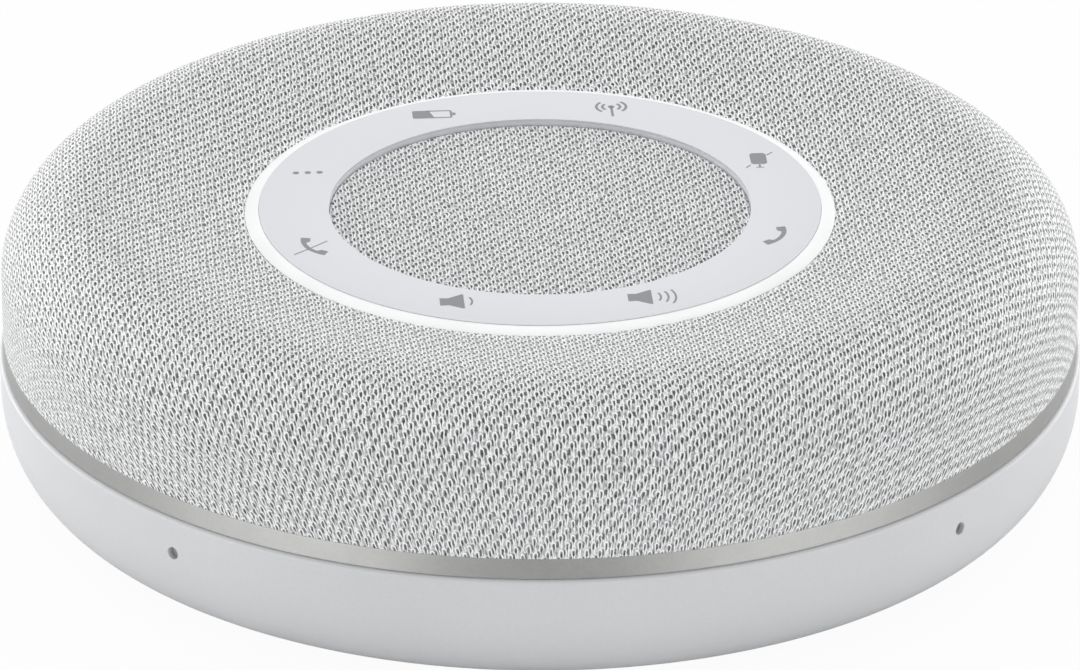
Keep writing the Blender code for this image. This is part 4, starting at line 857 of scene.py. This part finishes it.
def make_housing():
    """The moulded bowl with its pinholes and the two openings at the rear."""
    def side(wall):
        """The bowl's line from its widest point down to its flat foot, a wall's thickness inside."""
        line = []
        for index in range(SIDE_POINTS + 1):
            angle = math.pi / 2 * index / SIDE_POINTS
            line.append((FLAT + (BODY - FLAT - wall) * max(math.cos(angle), 0) ** (2 / SIDE_POWER),
                         WIDEST - (WIDEST - UNDERSIDE - wall) * math.sin(angle) ** (2 / FALL_POWER)))
        return line

    opening = reach_of("base_cover") + SEAT_GAP
    ledge = top_of("base_cover") + SEAT_GAP
    outline = rounded([(BODY - WALL, RIM, 0), (BODY + RIM_FLARE, RIM, 0.5), (BODY, RIM - RIM_BAND, 0)],
                      closed=False, segments=6)
    outline += side(0)
    outline += [(opening + 0.15, UNDERSIDE), (opening, UNDERSIDE + 0.15), (opening, ledge),
                (opening - LEDGE_WIDTH, ledge), (opening - LEDGE_WIDTH, ledge + LEDGE_THICKNESS),
                (opening + WALL, ledge + LEDGE_THICKNESS), (opening + WALL, UNDERSIDE + WALL)]
    outline += side(WALL)[::-1]
    housing = turned("housing_shell", outline)
    cutters = []
    for index, degrees in enumerate(MIC_ANGLES):
        levels = [(BODY + out, 2 * MIC_RADIUS + wider + ROUND, 2 * MIC_RADIUS + wider, False)
                  for out, wider in ((-4, 0), (-0.12, 0), (0.1, 0.36))]
        cutters.append(pill_piece("pinhole_%d" % index, levels, degrees, MIC_HEIGHT))
    for name, degrees, (width, height) in (
            ("port", PORT_ANGLE, PORT_OPENING), ("key", KEY_ANGLE, KEY_OPENING)):
        levels = [(BODY - 5, width, height, False), (BODY - 0.18, width, height, True),
                  (BODY + 0.2, width + 0.76, height + 0.76, True)]
        cutters.append(pill_piece(name + "_opening", levels, degrees, PORT_HEIGHT))
    cut(housing, *cutters)
    dress(housing, "housing_plastic", replaces=["lower_housing"])


def make_underside():
    """The base plate with its groove, and the soft ring in it."""
    outer = reach_of("base_cover")
    low = foot_of("base_cover")
    high = top_of("base_cover")
    foot_outer = reach_of("foot_ring")
    foot_inner = foot_outer - FOOT_WIDTH
    foot_top = top_of("foot_ring")
    plate = turned("base_plate", rounded([
        (0, high, 0), (outer, high, 0), (outer, low, 0.2), (foot_outer + SEAT_GAP, low, 0.1),
        (foot_outer + SEAT_GAP, foot_top + SEAT_GAP, 0), (foot_inner - SEAT_GAP, foot_top + SEAT_GAP, 0),
        (foot_inner - SEAT_GAP, low, 0.1), (0, low, 0)], closed=False), on_axis=True)
    dress(plate, "base_plastic", replaces=["base_cover"])
    foot = turned("rubber_foot", rounded([
        (foot_inner, foot_top, 0.1), (foot_outer, foot_top, 0.1), (foot_outer, 0, 0.4),
        (foot_inner, 0, 0.4)]))
    dress(foot, "foot_rubber", replaces=["foot_ring"])


def make_key():
    """The power key: a long cap that bends with the housing, on its flange and stem."""
    back = KEY_FLANGE_FACE - KEY_FLANGE_THICKNESS
    levels = [(back - KEY_STEM_LENGTH, *KEY_STEM, False), (back, *KEY_STEM, False),
              (back, *KEY_FLANGE, False), (KEY_FLANGE_FACE, *KEY_FLANGE, False),
              (KEY_FLANGE_FACE, *KEY_CAP, False)]
    for rise, inset in KEY_CROWN:
        levels.append((BODY + rise, KEY_CAP[0] - 2 * inset, KEY_CAP[1] - 2 * inset, True))
    key = pill_piece("power_key", levels, KEY_ANGLE, PORT_HEIGHT)
    dress(key, "button_plastic", body="power_button", replaces=["power_button"])


def make_port():
    """The charging port: a drawn steel shell with its contact tongue."""
    mouth = BODY - PORT_SET_BACK
    place = facing(PORT_ANGLE, PORT_HEIGHT)
    shape = bmesh.new()
    levels = [(mouth - back, PORT_SHELL[0] - 2 * inset, PORT_SHELL[1] - 2 * inset, False)
              for back, inset in PORT_PROFILE]
    pill(shape, levels, place)
    shell_faces = len(shape.faces)
    bar(shape, TONGUE, (0, 0, mouth - TONGUE_BACK + TONGUE[2] / 2), place)
    shape.faces.ensure_lookup_table()
    for face in shape.faces[shell_faces:]:
        face.material_index = 1
    bmesh.ops.recalc_face_normals(shape, faces=shape.faces[:])
    port = to_piece("charging_port", shape)
    dress(port, "port_steel", replaces=["usb_c_receptacle"])
    port.data.materials.append(FINISHES["dark_plastic"])


def make_mic_meshes():
    """A disc of fine acoustic mesh a little way down each pinhole."""
    radius = (MIC_RADIUS - 0.02) * MM
    for index, degrees in enumerate(MIC_ANGLES):
        place = facing(degrees, MIC_HEIGHT) @ Matrix.Translation((0, 0, (BODY - MIC_MESH_DEPTH) * MM))
        shape = bmesh.new()
        bmesh.ops.create_cone(shape, cap_ends=True, segments=24, radius1=radius, radius2=radius,
                              depth=MIC_MESH_THICKNESS * MM, matrix=place)
        dress(to_piece("mic_mesh_%d" % (index + 1), shape), MIC_MESH)


def make_spider():
    """The driver's spider: cotton pressed in rings of waves, which pull flat as the cone travels."""
    foot, top, outer = foot_of("spider"), top_of("spider"), reach_of("spider")
    swing = (top - foot - SPIDER_THICKNESS) / 2
    middle = (top + foot) / 2
    count = SPIDER_WAVES * WAVE_POINTS
    waved = []
    for step in range(count + 1):
        radius = SPIDER_INNER + (outer - SPIDER_INNER) * step / count
        waved.append((radius, middle + swing * math.sin(FULL_TURN * step / WAVE_POINTS)))
    half = SPIDER_THICKNESS / 2
    outline = [(radius, height + half) for radius, height in waved]
    outline += [(radius, height - half) for radius, height in reversed(waved)]
    spider = turned("driver_spider", outline, steps=SPIDER_STEPS, sharp=SHARP_SPIDER)
    dress(spider, "spider_cloth", replaces=("spider",))
    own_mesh(spider)


# Printed marks, drawn upright in the speakerphone's own frame, in millimetres

def stroke(points, width):
    """The outline of a line of a width through some points."""
    left, right = [], []
    for index, point in enumerate(points):
        here = Vector(point)
        before = (here - Vector(points[index - 1])).normalized() if index else None
        after = (Vector(points[index + 1]) - here).normalized() if index + 1 < len(points) else None
        run = ((before or after) + (after or before)).normalized()
        half = width / 2 / (run.dot(after or before))
        normal = Vector((-run.y, run.x)) * half
        left.append(tuple(here + normal))
        right.append(tuple(here - normal))
    return left + right[::-1]


def bow(centre, radius, start, end, count=14):
    """Points of an arc, from one angle to another, in degrees."""
    angles = [math.radians(start + (end - start) * index / count) for index in range(count + 1)]
    return [(centre[0] + radius * math.cos(angle), centre[1] + radius * math.sin(angle)) for angle in angles]


def dot(x, y, radius):
    """A round spot."""
    return bow((x, y), radius, 0, 345, 23)


def handset(mirror, shift, rise):
    """A telephone handset seen from the side: a bow with a block at each end."""
    centre = (-3.7, 1.9)
    outer = 4.75
    outline = bow(centre, outer, -64, 11, 20)
    for start, end, depth in ((11, -3, 1.15), (-8, -45, 0.58), (-50, -64, 1.15)):
        outline += bow(centre, outer - depth, start, end, 8)
    return [((x + 0.35) * mirror + shift, y + rise) for x, y in outline]


def horn(shift, rise):
    """A loudspeaker seen from the side."""
    upper = [(-1.5, 1.02), (-0.45, 0.96), (1.15, 1.95), (1.4, 1.95)]
    lower = [(x, -y) for x, y in reversed(upper)]
    return [(x + shift, y + rise) for x, y in upper + lower]


def waves(shift, rise, count):
    """Sound waves in front of the horn."""
    return [stroke(bow((shift, rise), 2.35 + 0.9 * index, -27, 27), 0.26) for index in range(count)]


MARKS = {
    "answer": (-22.5, [handset(1, 0.1, 0.4)]),
    "mute": (22.5, [
        [(-1.0, -0.95), (-0.7, -1.3), (0.7, -1.3), (1.0, -0.95), (1.0, 1.6), (0.7, 1.95),
         (-0.7, 1.95), (-1.0, 1.6)],
        stroke([(-1.7, -2.3), (-1.12, -1.5)], 0.2), stroke([(1.12, 1.3), (1.85, 2.1)], 0.2),
        stroke([(0, -1.45), (0, -2.2)], 0.28), stroke([(-0.5, -2.3), (0.5, -2.3)], 0.16)]),
    "wireless": (67.5, [dot(-0.6, 1.0, 0.42), stroke([(-0.6, 0.75), (-0.6, -1.9)], 0.32)] + [
        stroke(bow((-0.6, 1.0), radius, facing_way - 48, facing_way + 48), 0.34)
        for radius in (1.1, 1.85) for facing_way in (0, 180)]),
    "battery": (112.5, [
        [(-2.45, -0.8), (-2.25, -0.95), (0.3, -0.95), (-0.4, 1.35), (-2.25, 1.35), (-2.45, 1.2)],
        stroke([(-0.5, 1.22), (2.2, 1.22), (2.34, 1.08), (2.34, -0.7), (2.2, -0.82), (0.2, -0.82)], 0.27),
        [(2.5, -0.25), (2.92, -0.08), (2.92, 0.5), (2.5, 0.65)]]),
    "menu": (157.5, [dot(-1.45, 0, 0.4), dot(0, 0, 0.4), dot(1.45, 0, 0.4)]),
    "hang_up": (202.5, [
        handset(-1, -0.4, 1.15), stroke([(-2.75, -0.85), (-1.0, 0.65)], 0.2),
        stroke([(-0.6, 1.0), (1.4, 2.8)], 0.2)]),
    "quieter": (247.5, [horn(-0.85, 0.8)] + waves(-0.85, 0.8, 1)),
    "louder": (292.5, [horn(-1.4, 0.47)] + waves(-1.3, 0.47, 3)),
}


def make_marks():
    """Pad-printed signs on the touch ring, each a film of ink on its face."""
    for name, (degrees, outlines) in MARKS.items():
        angle = math.radians(degrees)
        centre = Vector((MARK_CIRCLE * math.cos(angle), MARK_CIRCLE * math.sin(angle), RING_TOP - MARK_SINK))
        shape = bmesh.new()
        for outline in outlines:
            verts = [shape.verts.new((centre + Vector((x, y, 0))) * MM) for x, y in outline]
            face = shape.faces.new(verts)
            grown = bmesh.ops.extrude_face_region(shape, geom=[face], use_keep_orig=True)["geom"]
            bmesh.ops.translate(shape, vec=(0, 0, (MARK_RISE + MARK_SINK) * MM),
                                verts=[item for item in grown if isinstance(item, bmesh.types.BMVert)])
        bmesh.ops.triangulate(shape, faces=[face for face in shape.faces if len(face.verts) > 4])
        bmesh.ops.recalc_face_normals(shape, faces=shape.faces[:])
        dress(to_piece("mark_" + name, shape), INK)


# Every finish, by the record's slots

FINISHES = {
    "housing_plastic": moulded("pale grey ABS, fine spark grain", "#D6D7D9", 0.45),
    "base_plastic": moulded("grey ABS, coarse spark grain", "#BEBFC1", 0.55, grain=0.6, depth=0.01),
    "foot_rubber": moulded("grey silicone rubber", "#6E7072", 0.8, grain=0.5, depth=0.006, ior=1.41),
    "trim_metal": blasted("bead-blasted anodised aluminium", "#9D9D9C", 0.4, lean=0.195),
    "knit_fabric": knit("stretched polyester knit", "#FFFFFF", "#FAFBFC", "#D0D1D3", "#38393B", "#202123"),
    "grille_plastic": moulded("charcoal ABS grille", "#3B3C3E", 0.5),
    "ring_plastic": moulded("satin polycarbonate under an in-mould film", "#E2E3E7", 0.42, grain=0.5,
                            depth=0.001, drift=0.012, ior=1.58),
    "light_guide": glowing("lit milky polycarbonate light guide", "#EBEDED", 0.22),
    "button_plastic": moulded("pale grey ABS key", "#D1D2D4", 0.42),
    "port_steel": rolled("drawn stainless steel shell", "#B8B9BB", 0.25),
    "screw_steel": lathed("zinc-plated screw steel", "#9FA1A4", 0.32, pitch=0.15),
    "board_green": circuit("green solder mask on a circuit board", "#1F5A3B", "#3C7F55"),
    "board_white": circuit("white solder mask on a circuit board", "#E8E8E3", "#D5D6CF"),
    "shield_steel": rolled("tin-plated steel shield", "#B7B9BB", 0.3),
    "dark_plastic": moulded("black glass-filled nylon", "#232426", 0.5, grain=0.6, depth=0.008, drift=0.1),
    "connector_plastic": moulded("ivory nylon connector", "#DDD8C6", 0.45),
    "battery_wrap": sleeved("blue heat-shrunk PVC sleeve", "#2F5D8C"),
    "pad_foam": foamed("grey open-cell polyurethane foam", "#6A6C6F"),
    "boot_rubber": moulded("black silicone boot", "#1E1F20", 0.7, ior=1.41),
    "motor_steel": lathed("nickel-plated motor steel", "#A9A7A2", 0.3),
    "magnet_coat": moulded("epoxy-coated neodymium magnet", "#5C5E62", 0.35, grain=0.8, depth=0.01,
                           drift=0.06),
    "basket_metal": moulded("powder-coated steel basket", "#2A2B2D", 0.45, grain=0.9, depth=0.02,
                            drift=0.06),
    "coil_wire": wound("varnished copper winding", "#B9683C"),
    "cone_paper": pulped("pressed paper-pulp cone", "#3A3B3D"),
    "spider_cloth": woven("resin-set cotton spider", "#B4924F"),
    "surround_rubber": moulded("butyl rubber surround", "#1C1D1E", 0.6, ior=1.52),
}
INK = moulded("grey pad-printing ink", "#898A8E", 0.5, grain=0.3, depth=0.001)
# The mesh's weave is too fine to show, so its wires glint as blasted metal does
MIC_MESH = blasted("woven steel acoustic mesh", "#A2A4A6", 0.5)

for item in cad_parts.values():
    for held in item.material_slots:
        held.material = FINISHES[held.material.name]

make_cover()
make_centre()
make_touch_ring()
make_light_band()
make_trim()
make_housing()
make_underside()
make_key()
make_port()
make_mic_meshes()
make_spider()
make_marks()


# Studio

FLOOR_GLOW = 0.95
FLOOR_DROP = 0.02
WORLD_LEVEL = 0.48
LAMPS = [
    ("overhead softbox", (0.0, 0.34, 0.95), (1.1, 0.8), 5.35),
    ("front left softbox", (-1.01, -0.65, 0.07), (1.3, 0.13), 4.25),
    ("front right softbox", (0.93, -0.75, 0.07), (1.3, 0.13), 4.0),
    ("back left softbox", (-0.87, 0.69, 0.11), (1.2, 0.2), 4.8),
    ("back right softbox", (0.87, 0.69, 0.11), (1.2, 0.2), 4.5),
]


def seen_directly(tree):
    """One for rays from the camera, and for what metal and glass show; zero for others."""
    path = node(tree, "ShaderNodeLightPath", output="Is Camera Ray")
    outputs = path.node.outputs
    mirror = node(tree, "ShaderNodeMath", {0: outputs["Is Glossy Ray"], 1: outputs["Is Transmission Ray"]},
                  operation="MAXIMUM")
    return node(tree, "ShaderNodeMath", {0: path, 1: mirror}, operation="MAXIMUM")


def make_studio():
    """A white floor that keeps a faint shadow, a plain white surround and broad soft lamps."""
    shape = bmesh.new()
    bmesh.ops.create_grid(shape, x_segments=1, y_segments=1, size=3.0,
                          matrix=Matrix.Translation((0, 0, -FLOOR_DROP * MM)))
    floor = to_piece("studio_floor", shape)
    material, tree, shader = surface("white studio floor")
    shader.inputs["Base Color"].default_value = linear("#E7E7E7")
    shader.inputs["Roughness"].default_value = 0.9
    seen = node(tree, "ShaderNodeLightPath", output="Is Camera Ray")
    seen = node(tree, "ShaderNodeMath", {0: seen, 1: FLOOR_GLOW}, operation="MULTIPLY")
    white = node(tree, "ShaderNodeEmission", {"Color": linear("#FFFFFF"), "Strength": 1.0})
    mixed = node(tree, "ShaderNodeMixShader", {0: seen, 1: shader.outputs[0], 2: white})
    tree.links.new(mixed, tree.nodes["Material Output"].inputs["Surface"])
    floor.data.materials.append(material)

    world = bpy.data.worlds.new("white surround")
    world.use_nodes = True
    bpy.context.scene.world = world
    tree = world.node_tree
    seen = seen_directly(tree)
    strength = node(tree, "ShaderNodeMapRange", {"Value": seen, "To Min": WORLD_LEVEL, "To Max": 1.0})
    tree.nodes["Background"].inputs["Color"].default_value = linear("#FFFFFF")
    tree.links.new(strength, tree.nodes["Background"].inputs["Strength"])

    for name, place, size, power in LAMPS:
        lamp = bpy.data.lights.new(name, "AREA")
        lamp.shape = "RECTANGLE"
        lamp.size, lamp.size_y = size
        lamp.energy = power
        holder = bpy.data.objects.new(name, lamp)
        holder.location = place
        aim = Vector((0, 0, 0.02)) - Vector(place)
        holder.rotation_euler = aim.to_track_quat("-Z", "Y").to_euler()
        bpy.context.scene.collection.objects.link(holder)


make_studio()


# Camera, as the photograph sees the speakerphone

IMAGE_WIDTH = 1080
FOCAL_PIXELS = 9396
SENSOR = 36.0
DISTANCE = 1.150
ELEVATION = math.radians(25.33)
AZIMUTH = math.radians(-4.0)
TARGET = Vector((0, 0, 0.017))

lens = bpy.data.cameras.new("camera")
lens.sensor_width = SENSOR
lens.lens = FOCAL_PIXELS * SENSOR / IMAGE_WIDTH
lens.clip_start = 0.05
lens.clip_end = 20
camera = bpy.data.objects.new("camera", lens)
back = Vector((math.sin(AZIMUTH) * math.cos(ELEVATION), -math.cos(AZIMUTH) * math.cos(ELEVATION),
               math.sin(ELEVATION)))
camera.location = TARGET + back * DISTANCE
camera.rotation_euler = (-back).to_track_quat("-Z", "Y").to_euler()
bpy.context.scene.collection.objects.link(camera)
bpy.context.scene.camera = camera
bpy.context.scene.view_settings.view_transform = "Standard"
